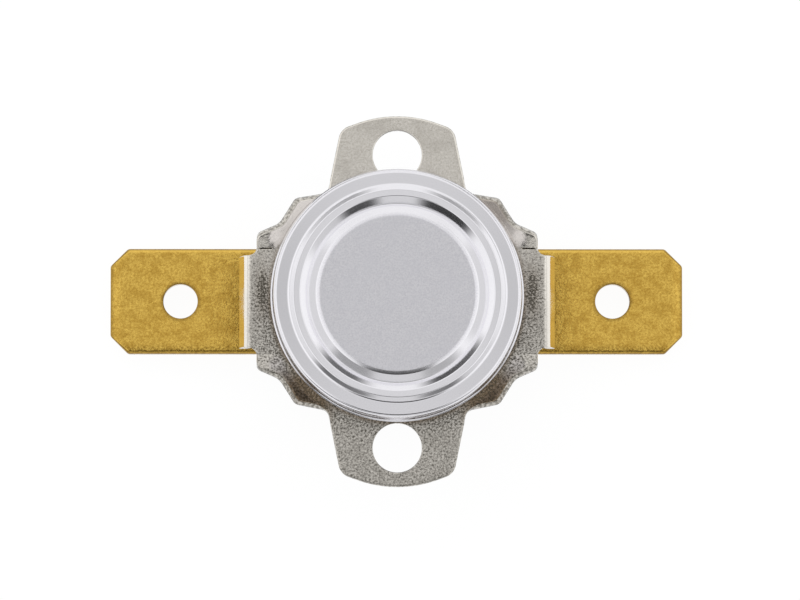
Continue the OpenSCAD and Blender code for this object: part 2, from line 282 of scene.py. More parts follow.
@dataclass(frozen=True)
class MetalFinish(Finish):
    """Rolled, plated or drawn metal.

    Attributes:
        name: Material name.
        base: Colour of the clean metal.
        stain: Colour that the blotches fade to.
        cut: Colour of sheared edges.
        roughness: Middle roughness of level sheet.
        worked: Roughness where forming has smoothed the metal.
        blotch_mm: Size of the blotches.
        blotch_level: Share of the stain at its strongest.
        speckle: Share of the stain in the fine grain's hollows.
        grain_mm: Size of the fine grain.
        grain_depth_mm: Height of the fine grain.
        grain: Direction of the fine marks.
        spread: How far the roughness varies either way.
        dashes: Share of clean metal that shows in dashes along sheared edges.
        painted_sheen: How much brighter worked metal is coloured than level sheet; a painted sheen on
            bends and formed rings.
        dark_tone: Colour of the painted shade on the bracket and of the darker band along the blades'
            edges.
        scuff: Colour of the specks, which are scuffs on the wings and front and painted shade beside the
            bracket's cap.
    """

    name: str
    base: Colour
    stain: Colour
    cut: Colour
    roughness: float
    worked: float
    blotch_mm: float
    blotch_level: float
    speckle: float
    grain_mm: float
    grain_depth_mm: float
    grain: Grain = Grain.EVEN
    spread: float = 0.05
    dashes: float = 0.25
    painted_sheen: float = 1.0
    dark_tone: Colour = (0.1, 0.08, 0.06)
    scuff: Colour = (0.07, 0.063, 0.05)

    # Bands are the range of a noise or mark that is read, and then the results at its two ends.
    BLOTCH_BAND = (0.42, 0.62)
    GRAIN_BAND = (0.36, 0.66)
    # The front-shade band and depth set how dark and speckled the painted front shade is.
    FRONT_SHADE_BAND = (0.34, 0.66, 0.04, 0.76)
    FRONT_SHADE_DEPTH = 0.3
    SHEEN_LIMIT = 0.98
    SHEEN_KEPT = (0.0, 1.0, 0.8, 0.15)
    DARK_TONE_BAND = (0.32, 0.5, 0.75, 1.0)
    SCUFF_BAND = (0.41, 0.50)
    SCUFF_START = (0.05, 0.3)
    SCUFF_THINNING = 0.25
    SCUFF_LEVEL = 0.9
    DASH_MM = 0.16
    DASH_BAND = (0.40, 0.62)
    SHEEN_BAND = (0.3, 0.7)
    PIT_SIZE = 2.2
    PIT_LEVEL = 0.9
    BUMP_KEPT = (0.0, 1.0, 1.0, 0.2)

    def paint(self, graph: Graph) -> None:
        """Adds stained, grained metal with bare cut edges and smooth worked places.

        Args:
            graph: The material's nodes.
        """
        even = graph.place_mm()
        blotch = graph.noise(even, 1 / self.blotch_mm, 6.0, 0.65)
        fine = graph.noise(graph.place_mm(self.grain), 1 / self.grain_mm, 4.0, 0.75)
        pits = graph.noise(even, 1 / (self.PIT_SIZE * self.grain_mm), 2.0)
        worked = graph.mark(Mark.WORKED)
        sheet = self._sheet(graph, blotch, fine, worked)
        colour = graph.mix(graph.mark(Mark.CUT), self._shaded_and_worn(graph, sheet, fine), self._bare(graph))
        sheen = graph.ramp(blotch, *self.SHEEN_BAND, self.roughness - self.spread,
                           self.roughness + self.spread, smooth=False)
        slip = graph.math("MULTIPLY", worked, graph.math("SUBTRACT", self.worked, sheen))
        heights = graph.math("ADD", fine, graph.math("MULTIPLY", pits, self.PIT_LEVEL))
        self.close(graph, {"Strength": graph.ramp(worked, *self.BUMP_KEPT),
                           "Distance": self.grain_depth_mm * MM, "Height": heights},
                   {"Base Color": colour, "Metallic": 1.0, "Roughness": graph.math("ADD", sheen, slip)})

    def _sheet(self, graph: Graph, blotch: object, fine: object, worked: object) -> bpy.types.NodeSocket:
        """Colour of the stained and grained sheet, darker where the front shade is painted, with a
        painted sheen where it is worked.

        Args:
            graph: The material's nodes.
            blotch: Noise of the large stains.
            fine: Noise of the fine grain.
            worked: Mark of metal that forming has smoothed.

        Returns:
            The colour's output.
        """
        stain = graph.ramp(blotch, *self.BLOTCH_BAND, 0.0, self.blotch_level)
        stained = graph.mix(stain, self.base, self.stain)
        grained = graph.mix(graph.ramp(fine, *self.GRAIN_BAND, 0.0, self.speckle), stained, self.stain)
        # Painted shade towards the front: darker, speckled metal.
        shade_mark = graph.mark(Mark.FRONT_SHADE)
        dark = tuple(self.FRONT_SHADE_DEPTH * level for level in self.stain)
        shade_share = graph.math("MULTIPLY", shade_mark, graph.ramp(fine, *self.FRONT_SHADE_BAND))
        front_shaded = graph.mix(shade_share, grained, dark)
        # Worked metal is coloured brighter: a painted sheen on bends and formed rings, weaker where
        # front shade is painted.
        bright = tuple(min(self.SHEEN_LIMIT, self.painted_sheen * level) for level in self.base)
        painted_sheen = graph.math("MULTIPLY", worked, graph.ramp(shade_mark, *self.SHEEN_KEPT))
        return graph.mix(painted_sheen, front_shaded, bright)

    def _shaded_and_worn(self, graph: Graph, sheet: object, fine: object) -> bpy.types.NodeSocket:
        """Colour of the sheet with its painted shade and dark edges, and with specks that thin out at
        their borders.

        Args:
            graph: The material's nodes.
            sheet: Colour of the clean sheet.
            fine: Noise of the fine grain.

        Returns:
            The colour's output.
        """
        # The dark tone paints shade on the bracket and a darker band along the blades' edges.
        dark_patch = graph.math("MULTIPLY", graph.mark(Mark.SHADE_AND_DARK_EDGES), graph.ramp(fine, *self.DARK_TONE_BAND))
        darkened = graph.mix(dark_patch, sheet, self.dark_tone)
        speck_mark = graph.mark(Mark.SCUFFS_AND_SHADE)
        thinning = graph.math("MULTIPLY", graph.math("SUBTRACT", speck_mark, 1.0), self.SCUFF_THINNING)
        thinned = graph.ramp(graph.math("ADD", fine, thinning), *self.SCUFF_BAND)
        specks = graph.math("MULTIPLY", thinned, graph.ramp(speck_mark, *self.SCUFF_START))
        return graph.mix(graph.math("MULTIPLY", specks, self.SCUFF_LEVEL), darkened, self.scuff)

    def _bare(self, graph: Graph) -> bpy.types.NodeSocket:
        """Colour of sheared edges, streaked across the sheet's thickness."""
        dashes = graph.noise(graph.place_mm(Grain.ALONG_Z), 1 / self.DASH_MM, 3.0, 0.6)
        return graph.mix(graph.ramp(dashes, *self.DASH_BAND, 0.0, self.dashes), self.cut, self.base)


@dataclass(frozen=True)
class MouldedFinish(Finish):
    """Moulded phenolic or fired ceramic, with filler specks and a fine skin.

    Attributes:
        name: Material name.
        base: Colour of the mass.
        fleck: Colour of the filler.
        roughness: Middle roughness.
        fleck_mm: Size of the filler specks.
        skin_depth_mm: Height of the fine skin.
        coat: Strength of a clear skin over the mass.
    """

    name: str
    base: Colour
    fleck: Colour
    roughness: float
    fleck_mm: float
    skin_depth_mm: float
    coat: float = 0.0

    FLECK_BAND = (0.3, 0.05, 0.0, 0.5)
    CLOUD_BAND = (0.3, 0.7)
    CLOUD_SCALE = 0.8
    SKIN_SCALE = 9.0
    SPREAD = 0.07
    COAT_ROUGHNESS = 0.25

    def paint(self, graph: Graph) -> None:
        """Adds a flecked mass with a lightly rough skin.

        Args:
            graph: The material's nodes.
        """
        even = graph.place_mm()
        flecks = graph.add("ShaderNodeTexVoronoi", {"Vector": even, "Scale": 1 / self.fleck_mm})
        cloud = graph.noise(even, self.CLOUD_SCALE, 5.0)
        skin = graph.noise(even, self.SKIN_SCALE, 4.0)
        share = graph.math("MULTIPLY", graph.ramp(flecks.outputs["Distance"], *self.FLECK_BAND),
                           graph.ramp(cloud, *self.CLOUD_BAND))
        rough = graph.ramp(cloud, *self.CLOUD_BAND, self.roughness - self.SPREAD,
                           self.roughness + self.SPREAD, smooth=False)
        self.close(graph, {"Strength": 1.0, "Distance": self.skin_depth_mm * MM, "Height": skin},
                   {"Base Color": graph.mix(share, self.base, self.fleck), "Roughness": rough,
                    "Coat Weight": self.coat, "Coat Roughness": self.COAT_ROUGHNESS})


FINISHES: dict[Slot, Finish] = {
    Slot.CAP: MetalFinish(
        "drawn_aluminium", base=(0.76, 0.752, 0.782), stain=(0.62, 0.615, 0.655), cut=(0.6, 0.6, 0.62),
        roughness=0.30, worked=0.13, blotch_mm=1.2, blotch_level=0.3, speckle=0.9, grain_mm=0.09,
        grain_depth_mm=0.0014, spread=0.03, painted_sheen=1.15),
    # The bracket's dark tone is the colour of its painted shade; its painted sheen makes the bends of
    # its lugs nearly white.
    Slot.BRACKET: MetalFinish(
        "nickel_plated_steel", base=(0.635, 0.605, 0.555), stain=(0.39, 0.365, 0.325),
        cut=(0.18, 0.168, 0.147), roughness=0.19, worked=0.11, blotch_mm=1.1, blotch_level=0.35,
        speckle=0.55, grain_mm=0.12, grain_depth_mm=0.03, dashes=0.9, painted_sheen=1.52,
        dark_tone=(0.15, 0.098, 0.048)),
    Slot.BLADE: MetalFinish(
        "rolled_brass", base=(0.84, 0.56, 0.12), stain=(0.43, 0.235, 0.03), cut=(0.27, 0.16, 0.038),
        roughness=0.22, worked=0.13, blotch_mm=0.6, blotch_level=0.5, speckle=0.7, grain_mm=0.13,
        grain_depth_mm=0.018, dark_tone=(0.2, 0.115, 0.025)),
    Slot.RIVET: MetalFinish(
        "headed_brass", base=(0.84, 0.56, 0.17), stain=(0.55, 0.33, 0.08), cut=(0.5, 0.3, 0.1),
        roughness=0.32, worked=0.2, blotch_mm=0.8, blotch_level=0.5, speckle=0.4, grain_mm=0.12,
        grain_depth_mm=0.004),
    Slot.DISC: MetalFinish(
        "bimetal_strip", base=(0.56, 0.55, 0.53), stain=(0.38, 0.37, 0.36), cut=(0.5, 0.5, 0.5),
        roughness=0.36, worked=0.3, blotch_mm=1.5, blotch_level=0.5, speckle=0.4, grain_mm=0.1,
        grain_depth_mm=0.003, grain=Grain.ALONG_X),
    Slot.ARM: MetalFinish(
        "spring_bronze", base=(0.80, 0.46, 0.22), stain=(0.5, 0.26, 0.1), cut=(0.75, 0.45, 0.25),
        roughness=0.33, worked=0.25, blotch_mm=1.0, blotch_level=0.5, speckle=0.4, grain_mm=0.1,
        grain_depth_mm=0.003, grain=Grain.ALONG_X),
    Slot.CONTACT: MetalFinish(
        "contact_silver_alloy", base=(0.88, 0.87, 0.84), stain=(0.6, 0.58, 0.55), cut=(0.8, 0.8, 0.78),
        roughness=0.30, worked=0.2, blotch_mm=0.6, blotch_level=0.4, speckle=0.3, grain_mm=0.08,
        grain_depth_mm=0.002),
    Slot.BODY: MouldedFinish(
        "moulded_phenolic", base=(0.022, 0.017, 0.015), fleck=(0.10, 0.085, 0.075), roughness=0.48,
        fleck_mm=0.16, skin_depth_mm=0.004, coat=0.15),
    Slot.GUIDE: MouldedFinish(
        "fired_ceramic", base=(0.80, 0.77, 0.69), fleck=(0.62, 0.58, 0.5), roughness=0.6,
        fleck_mm=0.1, skin_depth_mm=0.003),
    Slot.PIN: MouldedFinish(
        "ground_ceramic", base=(0.86, 0.85, 0.82), fleck=(0.7, 0.68, 0.64), roughness=0.45,
        fleck_mm=0.08, skin_depth_mm=0.002),
}


@dataclass(frozen=True)
class Corner:
    """A corner of an outline and the radius that rounds it."""

    x: float
    y: float
    r: float = 0.0

    @property
    def at(self) -> Points:
        """The corner's place."""
        return np.array((self.x, self.y), float)


class Outline:
    """Turns corners into dense points, with each round as a true arc."""

    LEAST_ARC_STEPS = 3

    def __init__(self, corners: Sequence[Corner], closed: bool = True) -> None:
        """Keeps the corners in order; a closed outline runs anticlockwise."""
        self.corners = list(corners)
        self.closed = closed

    def points(self, step: float, arc_steps: int = 0, support: float = 0.0) -> Points:
        """Samples the outline.

        Args:
            step: Longest distance between points; 0 leaves straight runs undivided.
            arc_steps: Least number of pieces in each round.
            support: Distance beyond each round of a point that keeps the straight run flat when shaded.

        Returns:
            An array of points, one row each.
        """
        knots: list[Points] = []
        for i in range(len(self.corners)):
            knots.extend(self._round(i, step, arc_steps, support))
        if step <= 0:
            return np.array(knots)
        ends = knots[1:] + ([knots[0]] if self.closed else [])
        dense: list[Points] = []
        for start, end in zip(knots, ends):
            pieces = max(1, math.ceil(float(np.linalg.norm(end - start)) / step - TINY))
            dense.extend(start + (end - start) * k / pieces for k in range(pieces))
        if not self.closed:
            dense.append(knots[-1])
        return np.array(dense)

    def _round(self, i: int, step: float, arc_steps: int, support: float) -> list[Points]:
        """Points of corner i: the corner itself, or its arc between its support points.

        Args:
            i: Number of the corner.
            step: Longest distance between points; 0 sets no limit.
            arc_steps: Least number of pieces in the round.
            support: Distance of the support points from the round.

        Returns:
            The points in order.
        """
        here = self.corners[i]
        inner = self.closed or 0 < i < len(self.corners) - 1
        if here.r <= 0 or not inner:
            return [here.at]
        back = self.corners[i - 1].at - here.at
        ahead = self.corners[(i + 1) % len(self.corners)].at - here.at
        back /= np.linalg.norm(back)
        ahead /= np.linalg.norm(ahead)
        half = math.acos(float(np.clip(back @ ahead, -1, 1))) / 2
        middle = (back + ahead) / np.linalg.norm(back + ahead)
        centre = here.at + middle * here.r / math.sin(half)
        first = here.at + back * here.r / math.tan(half) - centre
        last = here.at + ahead * here.r / math.tan(half) - centre
        a0 = math.atan2(first[1], first[0])
        turn = math.atan2(first[0] * last[1] - first[1] * last[0], first @ last)
        pieces = max(arc_steps, self.LEAST_ARC_STEPS)
        if step > 0:
            pieces = max(pieces, math.ceil(abs(turn) * here.r / step))
        arc = [centre + here.r * np.array((math.cos(a), math.sin(a)))
               for a in (a0 + turn * k / pieces for k in range(pieces + 1))]
        if support <= 0:
            return arc
        return [arc[0] + support * back, *arc, arc[-1] + support * ahead]


def circle_points(x: float, y: float, r: float, step: float, least: int = 24) -> Points:
    """Points of a circle, anticlockwise.

    Args:
        x: Centre along X.
        y: Centre along Y.
        r: Radius.
        step: Longest distance between points.
        least: Least number of points.

    Returns:
        An array of points, one row each.
    """
    count = max(least, math.ceil(2 * math.pi * r / step))
    angle = np.arange(count) * 2 * math.pi / count
    return np.column_stack((x + r * np.cos(angle), y + r * np.sin(angle)))


def inside(points: Points, loop: Points) -> Points:
    """Tells which points lie inside a closed loop, by counting crossings.

    Args:
        points: The points to test.
        loop: The loop's points in order.

    Returns:
        One truth value for each point.
    """
    x, y = points[:, 0], points[:, 1]
    result = np.zeros(len(points), bool)
    for (x0, y0), (x1, y1) in zip(loop, np.roll(loop, -1, axis=0)):
        crossed = (y0 > y) != (y1 > y)
        rise = (y1 - y0) if y1 != y0 else 1.0
        result ^= crossed & (x < (x1 - x0) * (y - y0) / rise + x0)
    return result


def point_net(x0: float, x1: float, y0: float, y1: float, step: float) -> Points:
    """Staggered rows of points over a rectangle, in triangles with nearly equal sides.

    Args:
        x0: Left edge.
        x1: Right edge.
        y0: Front edge.
        y1: Back edge.
        step: Distance between points.

    Returns:
        An array of points, one row each.
    """
    row_share = 0.866
    rows = []
    for k, y in enumerate(np.arange(y0, y1, step * row_share)):
        xs = np.arange(x0 + (k % 2) * step / 2, x1, step)
        rows.append(np.column_stack((xs, np.full(len(xs), y))))
    return np.vstack(rows)


def nearest_square(points: Points, targets: Points) -> Points:
    """Square of each point's distance to the nearest target.

    Args:
        points: The points to measure from.
        targets: The points to measure to.

    Returns:
        One square for each point.
    """
    nearest = np.full(len(points), np.inf)
    for target in targets:
        nearest = np.minimum(nearest, ((points - target) ** 2).sum(axis=1))
    return nearest


def progress(distance: Points, run: float) -> Points:
    """How far a distance has come along a run, held between 0 and 1."""
    return np.clip(distance / run, 0, 1)


def link_object(name: str, data: bpy.types.ID) -> bpy.types.Object:
    """Makes an object round a mesh, lamp or camera and links it to the scene.

    Args:
        name: The object's name.
        data: What the object shows.

    Returns:
        The new object at the origin.
    """
    made = bpy.data.objects.new(name, data)
    bpy.context.scene.collection.objects.link(made)
    return made


def face_outward(mesh: bpy.types.Mesh, least_edge: float = 0.0) -> None:
    """Turns a closed mesh's normals outward.

    Args:
        mesh: The mesh to mend.
        least_edge: Edges up to this length in metres are dissolved first; 0 keeps them all.
    """
    work = bmesh.new()
    work.from_mesh(mesh)
    if least_edge > 0:
        bmesh.ops.dissolve_degenerate(work, dist=least_edge, edges=work.edges)
    bmesh.ops.recalc_face_normals(work, faces=work.faces)
    work.to_mesh(mesh)
    work.free()


def mesh_piece(name: str, vertices: Iterable, faces: Iterable) -> bpy.types.Object:
    """Makes an object from vertices in millimetres, with outward normals and smooth shading.

    Args:
        name: The piece's name.
        vertices: Places of the vertices.
        faces: Vertex numbers of each face.

    Returns:
        The new object, linked to the scene.
    """
    mesh = bpy.data.meshes.new(name)
    mesh.from_pydata((np.asarray(vertices, float) * MM).tolist(), [], [list(f) for f in faces])
    face_outward(mesh)
    mesh.shade_smooth()
    return link_object(name, mesh)


def mark_points(piece: bpy.types.Object, mark: Mark, values: Points) -> None:
    """Stores one value for each vertex under a mark that finishes read."""
    stored = piece.data.attributes.new(mark.value, "FLOAT", "POINT")
    stored.data.foreach_set("value", np.ascontiguousarray(values, np.float32))


def point_places(piece: bpy.types.Object) -> Points:
    """Places of a piece's vertices in millimetres.

    Args:
        piece: The piece to read.

    Returns:
        An array of places, one row each.
    """
    flat = np.empty(3 * len(piece.data.vertices), np.float32)
    piece.data.vertices.foreach_get("co", flat)
    return flat.reshape(-1, 3) / MM


def mark_worked(piece: bpy.types.Object, level: float = 0.99, bent: float = 0.93) -> None:
    """Marks metal that forming has smoothed: 0 where it is level, 1 where it is bent.

    Args:
        piece: The piece to mark.
        level: Upright share of the normal from which metal counts as level.
        bent: Upright share of the normal below which it counts as fully bent.
    """
    upright = np.array([abs(normal.vector.z) for normal in piece.data.vertex_normals])
    mark_points(piece, Mark.WORKED, progress(level - upright, level - bent))


Form = Callable[[Points, Points], Points]


@dataclass
class Stamping:
    """A stamped sheet: a flat blank with holes, worked edges and a pressed form.

    Attributes:
        outer: Outer loop of the blank, anticlockwise.
        holes: Loops of the holes.
        thickness: Sheet thickness.
        roll: Radius of the die roll along the upper outer edge, one value or one for each point.
        hole_roll: Radius of the die roll round the holes.
        burr: Size of the break along the lower edge.
        form: Puts blank points in place, at a depth below the upper face.
        grid: Points inside the blank where the form is sampled.
        roll_steps: Rings of faces round the die roll.
        burnish: Share of the cut's own look on the smooth upper band of a cut edge.
    """

    outer: Points
    holes: list[Points]
    thickness: float
    roll: float | Points
    hole_roll: float
    burr: float
    form: Form
    grid: Points
    roll_steps: int = 5
    burnish: float = 0.85

    BREAK_FROM = 0.6  # share of the thickness where the smooth cut turns into the rough break
    CUT_FROM = 0.3  # share of the die roll's radius below which an edge counts as cut
    CLEAR_OF_RIM = 0.7  # share of the rim's step that grid points keep from it

    def build(self, name: str) -> bpy.types.Object:
        """Makes the closed sheet, with its cut edges marked in an attribute.

        Args:
            name: The piece's name.

        Returns:
            The new object.
        """
        loops = [self.outer, *self.holes]
        inward = [self._inward(loop, k == 0) for k, loop in enumerate(loops)]
        radii = [self.roll] + [self.hole_roll] * len(self.holes)
        rolls = [np.broadcast_to(r, len(loop))[:, None] for r, loop in zip(radii, loops)]
        flat, triangles = self._fill([loop + r * n for loop, r, n in zip(loops, rolls, inward)])
        count = len(flat)
        vertices = [self.form(flat, np.full((count, 1), depth)) for depth in (0.0, self.thickness)]
        faces = [tuple(t) for t in triangles]
        faces += [tuple(int(v) + count for v in reversed(t)) for t in triangles]
        cut = [np.zeros(2 * count)]
        total = 2 * count
        first = 0
        for loop, roll, n in zip(loops, rolls, inward):
            size = len(loop)
            above = np.arange(first, first + size)
            for inset, depth in self._edge_steps(roll):
                vertices.append(self.form(loop + inset * n, depth))
                shorn = np.where(depth > self.BREAK_FROM * self.thickness, 1.0, self.burnish)
                cut.append(np.where(depth > self.CUT_FROM * roll, shorn, 0.0).ravel())
                below = np.arange(total, total + size)
                faces += self._bridge(above, below)
                above, total = below, total + size
            faces += self._bridge(above, np.arange(first, first + size) + count)
            first += size
        piece = mesh_piece(name, np.vstack(vertices), faces)
        mark_points(piece, Mark.CUT, np.concatenate(cut))
        mark_worked(piece)
        return piece

    def _edge_steps(self, roll: Points) -> list[tuple[Points, Points]]:
        """Inset and depth of each ring round a cut edge, from the top down.

        Args:
            roll: Radius of the die roll at each point of the edge.

        Returns:
            Pairs of inset and depth.
        """
        turns = [math.pi / 2 * k / self.roll_steps for k in range(1, self.roll_steps + 1)]
        rolled = [(roll * (1 - math.sin(a)), roll * (1 - math.cos(a))) for a in turns]
        level = np.ones_like(roll)
        return rolled + [(0 * level, self.BREAK_FROM * self.thickness * level),
                         (0 * level, (self.thickness - self.burr) * level),
                         (self.burr * level, self.thickness * level)]

    @staticmethod
    def _inward(loop: Points, is_outer: bool) -> Points:
        """Unit directions from a loop into the sheet.

        Args:
            loop: The loop's points, anticlockwise.
            is_outer: Whether the sheet lies inside the loop.

        Returns:
            One direction for each point.
        """
        along = np.roll(loop, -1, axis=0) - np.roll(loop, 1, axis=0)
        along /= np.linalg.norm(along, axis=1)[:, None]
        left = np.column_stack((-along[:, 1], along[:, 0]))
        return left if is_outer else -left

    @staticmethod
    def _bridge(above: Points, below: Points) -> list[tuple[int, int, int, int]]:
        """Faces between two rings of equal length."""
        return [tuple(int(v) for v in quad) for quad in
                zip(above, np.roll(above, -1), np.roll(below, -1), below)]

    def _fill(self, rims: list[Points]) -> tuple[Points, list[list[int]]]:
        """Triangulates the sheet between its rims.

        Args:
            rims: The outer rim and then the holes' rims.

        Returns:
            The points, rims first in order, and the triangles.
        """
        keep = inside(self.grid, rims[0])
        for hole in rims[1:]:
            keep &= ~inside(self.grid, hole)
        grid = self.grid[keep]
        for rim in rims:
            gap = np.linalg.norm(np.roll(rim, -1, axis=0) - rim, axis=1).mean()
            grid = grid[nearest_square(grid, rim) > (self.CLEAR_OF_RIM * gap) ** 2]
        flat = np.vstack([*rims, grid])
        edges, first = [], 0
        for rim in rims:
            size = len(rim)
            edges += [(first + k, first + (k + 1) % size) for k in range(size)]
            first += size
        out, _, triangles, *_ = delaunay_2d_cdt([Vector(p) for p in flat], edges, [], 1, TINY)
        if len(out) != len(flat):
            raise ValueError("the outline's points run together")
        middles = flat[np.array(triangles)].mean(axis=1)
        solid = np.ones(len(triangles), bool)
        for rim in rims[1:]:
            solid &= ~inside(middles, rim)
        return flat, [t for t, kept in zip(triangles, solid) if kept]


def height_form(height: Callable[[Points], Points], base: float) -> Form:
    """A form whose underside follows a height, with the sheet square to it.

    Args:
        height: Height of the underside at given points.
        base: Sheet thickness.

    Returns:
        The form.
    """
    nudge = 1e-3
    dx, dy = np.array((nudge, 0.0)), np.array((0.0, nudge))

    def form(flat: Points, depth: Points) -> Points:
        """Puts blank points on the sheet, at a depth below its upper face.

        Args:
            flat: Points of the blank.
            depth: Distance below the upper face.

        Returns:
            The points in place.
        """
        slope_x = (height(flat + dx) - height(flat - dx)) / (2 * nudge)
        slope_y = (height(flat + dy) - height(flat - dy)) / (2 * nudge)
        normal = np.column_stack((-slope_x, -slope_y, np.ones(len(flat))))
        normal /= np.linalg.norm(normal, axis=1)[:, None]
        return np.column_stack((flat, height(flat))) + (base - depth) * normal

    return form


class LatheTree:
    """A Geometry Nodes tree that turns a section about the Z axis into a closed piece."""

    NAME = "turned_section"
    WELD_M = 1e-7
    LEAST_EDGE_M = 1e-8

    def __init__(self) -> None:
        """Builds the tree with its named inputs."""
        self.tree = bpy.data.node_groups.new(self.NAME, "GeometryNodeTree")
        face = self.tree.interface
        face.new_socket("Section", in_out="INPUT", socket_type="NodeSocketGeometry")
        self.segments = face.new_socket("Segments", in_out="INPUT", socket_type="NodeSocketInt")
        self.axis_y = face.new_socket("Axis Y", in_out="INPUT", socket_type="NodeSocketFloat")
        self.material = face.new_socket("Material", in_out="INPUT", socket_type="NodeSocketMaterial")
        face.new_socket("Piece", in_out="OUTPUT", socket_type="NodeSocketGeometry")
        self._wire(Graph(self.tree))

    def _wire(self, graph: Graph) -> None:
        """Adds the nodes: a grid whose rows follow the section and whose columns go round.

        Args:
            graph: The tree's nodes.
        """
        given = graph.add("NodeGroupInput").outputs
        rows = graph.add("GeometryNodeAttributeDomainSize", {"Geometry": given["Section"]}).outputs[0]
        columns = graph.math("ADD", given["Segments"], 1.0)
        grid = graph.add("GeometryNodeMeshGrid", {"Vertices X": columns, "Vertices Y": rows})
        number = graph.add("GeometryNodeInputIndex").outputs[0]
        column = graph.math("FLOOR", graph.math("DIVIDE", graph.math("ADD", number, 0.5), rows))
        row = graph.math("SUBTRACT", number, graph.math("MULTIPLY", column, rows))
        place = graph.add("GeometryNodeInputPosition").outputs[0]
        sample = graph.add("GeometryNodeSampleIndex", {
            "Geometry": given["Section"], "Value": place, "Index": row}, data_type="FLOAT_VECTOR")
        radius, _, height = graph.add("ShaderNodeSeparateXYZ", {0: sample.outputs[0]}).outputs
        angle = graph.math("DIVIDE", graph.math("MULTIPLY", column, 2 * math.pi), given["Segments"])
        x = graph.math("MULTIPLY", radius, graph.math("COSINE", angle))
        y = graph.math("MULTIPLY", radius, graph.math("SINE", angle))
        turned = graph.add("ShaderNodeCombineXYZ", {
            0: x, 1: graph.math("ADD", y, given["Axis Y"]), 2: height})
        moved = graph.add("GeometryNodeSetPosition", {
            "Geometry": grid.outputs[0], "Position": turned.outputs[0]})
        closed = graph.add("GeometryNodeMergeByDistance", {
            "Geometry": moved.outputs[0], "Distance": self.WELD_M})
        smooth = graph.add("GeometryNodeSetShadeSmooth", {"Geometry": closed.outputs[0]})
        whole = graph.add("GeometryNodeRealizeInstances", {"Geometry": smooth.outputs[0]})
        dressed = graph.add("GeometryNodeSetMaterial", {
            "Geometry": whole.outputs[0], "Material": given["Material"]})
        graph.add("NodeGroupOutput", {0: dressed.outputs[0]})

    def turn(self, name: str, section: Points, axis_y: float, segments: int,
             finish: Finish) -> bpy.types.Object:
        """Turns a section into a plain mesh piece.

        Args:
            name: The piece's name.
            section: Closed section, each row a radius and a height in millimetres.
            axis_y: Place of the turning axis along Y, in millimetres.
            segments: Pieces in a full turn.
            finish: The finish that the piece gets.

        Returns:
            The finished object at the origin.
        """
        mesh = bpy.data.meshes.new(name + "_section")
        ring = np.vstack((section, section[:1]))
        rows = [(r * MM, 0.0, z * MM) for r, z in ring]
        mesh.from_pydata(rows, [(k, k + 1) for k in range(len(rows) - 1)], [])
        source = link_object(name + "_section", mesh)
        turning = source.modifiers.new(self.NAME, "NODES")
        turning.node_group = self.tree
        turning[self.segments.identifier] = segments
        turning[self.axis_y.identifier] = axis_y * MM
        turning[self.material.identifier] = finish.material()
        evaluated = source.evaluated_get(bpy.context.evaluated_depsgraph_get())
        result = bpy.data.meshes.new_from_object(evaluated)
        source.modifiers.clear()
        bpy.data.objects.remove(source)
        face_outward(result, self.LEAST_EDGE_M)
        result.name = name
        return link_object(name, result)


def seat_piece(piece: bpy.types.Object, slot: Slot, *nodes: str) -> None:
    """Joins a finished piece to the housing in place of CAD nodes, and reports it.

    Args:
        piece: The finished piece.
        slot: Its material slot; not used.
        nodes: The CAD nodes that it replaces.
    """
    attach(piece, HOUSING)
    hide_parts(*nodes)
    LOG.info("%s: %d faces in place of %s", piece.name, len(piece.data.polygons), ", ".join(nodes))


def axis_of(node: str) -> float:
    """Place along Y, in millimetres, of a round node's axis."""
    low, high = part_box(node)
    return (low.y + high.y) / 2 / MM


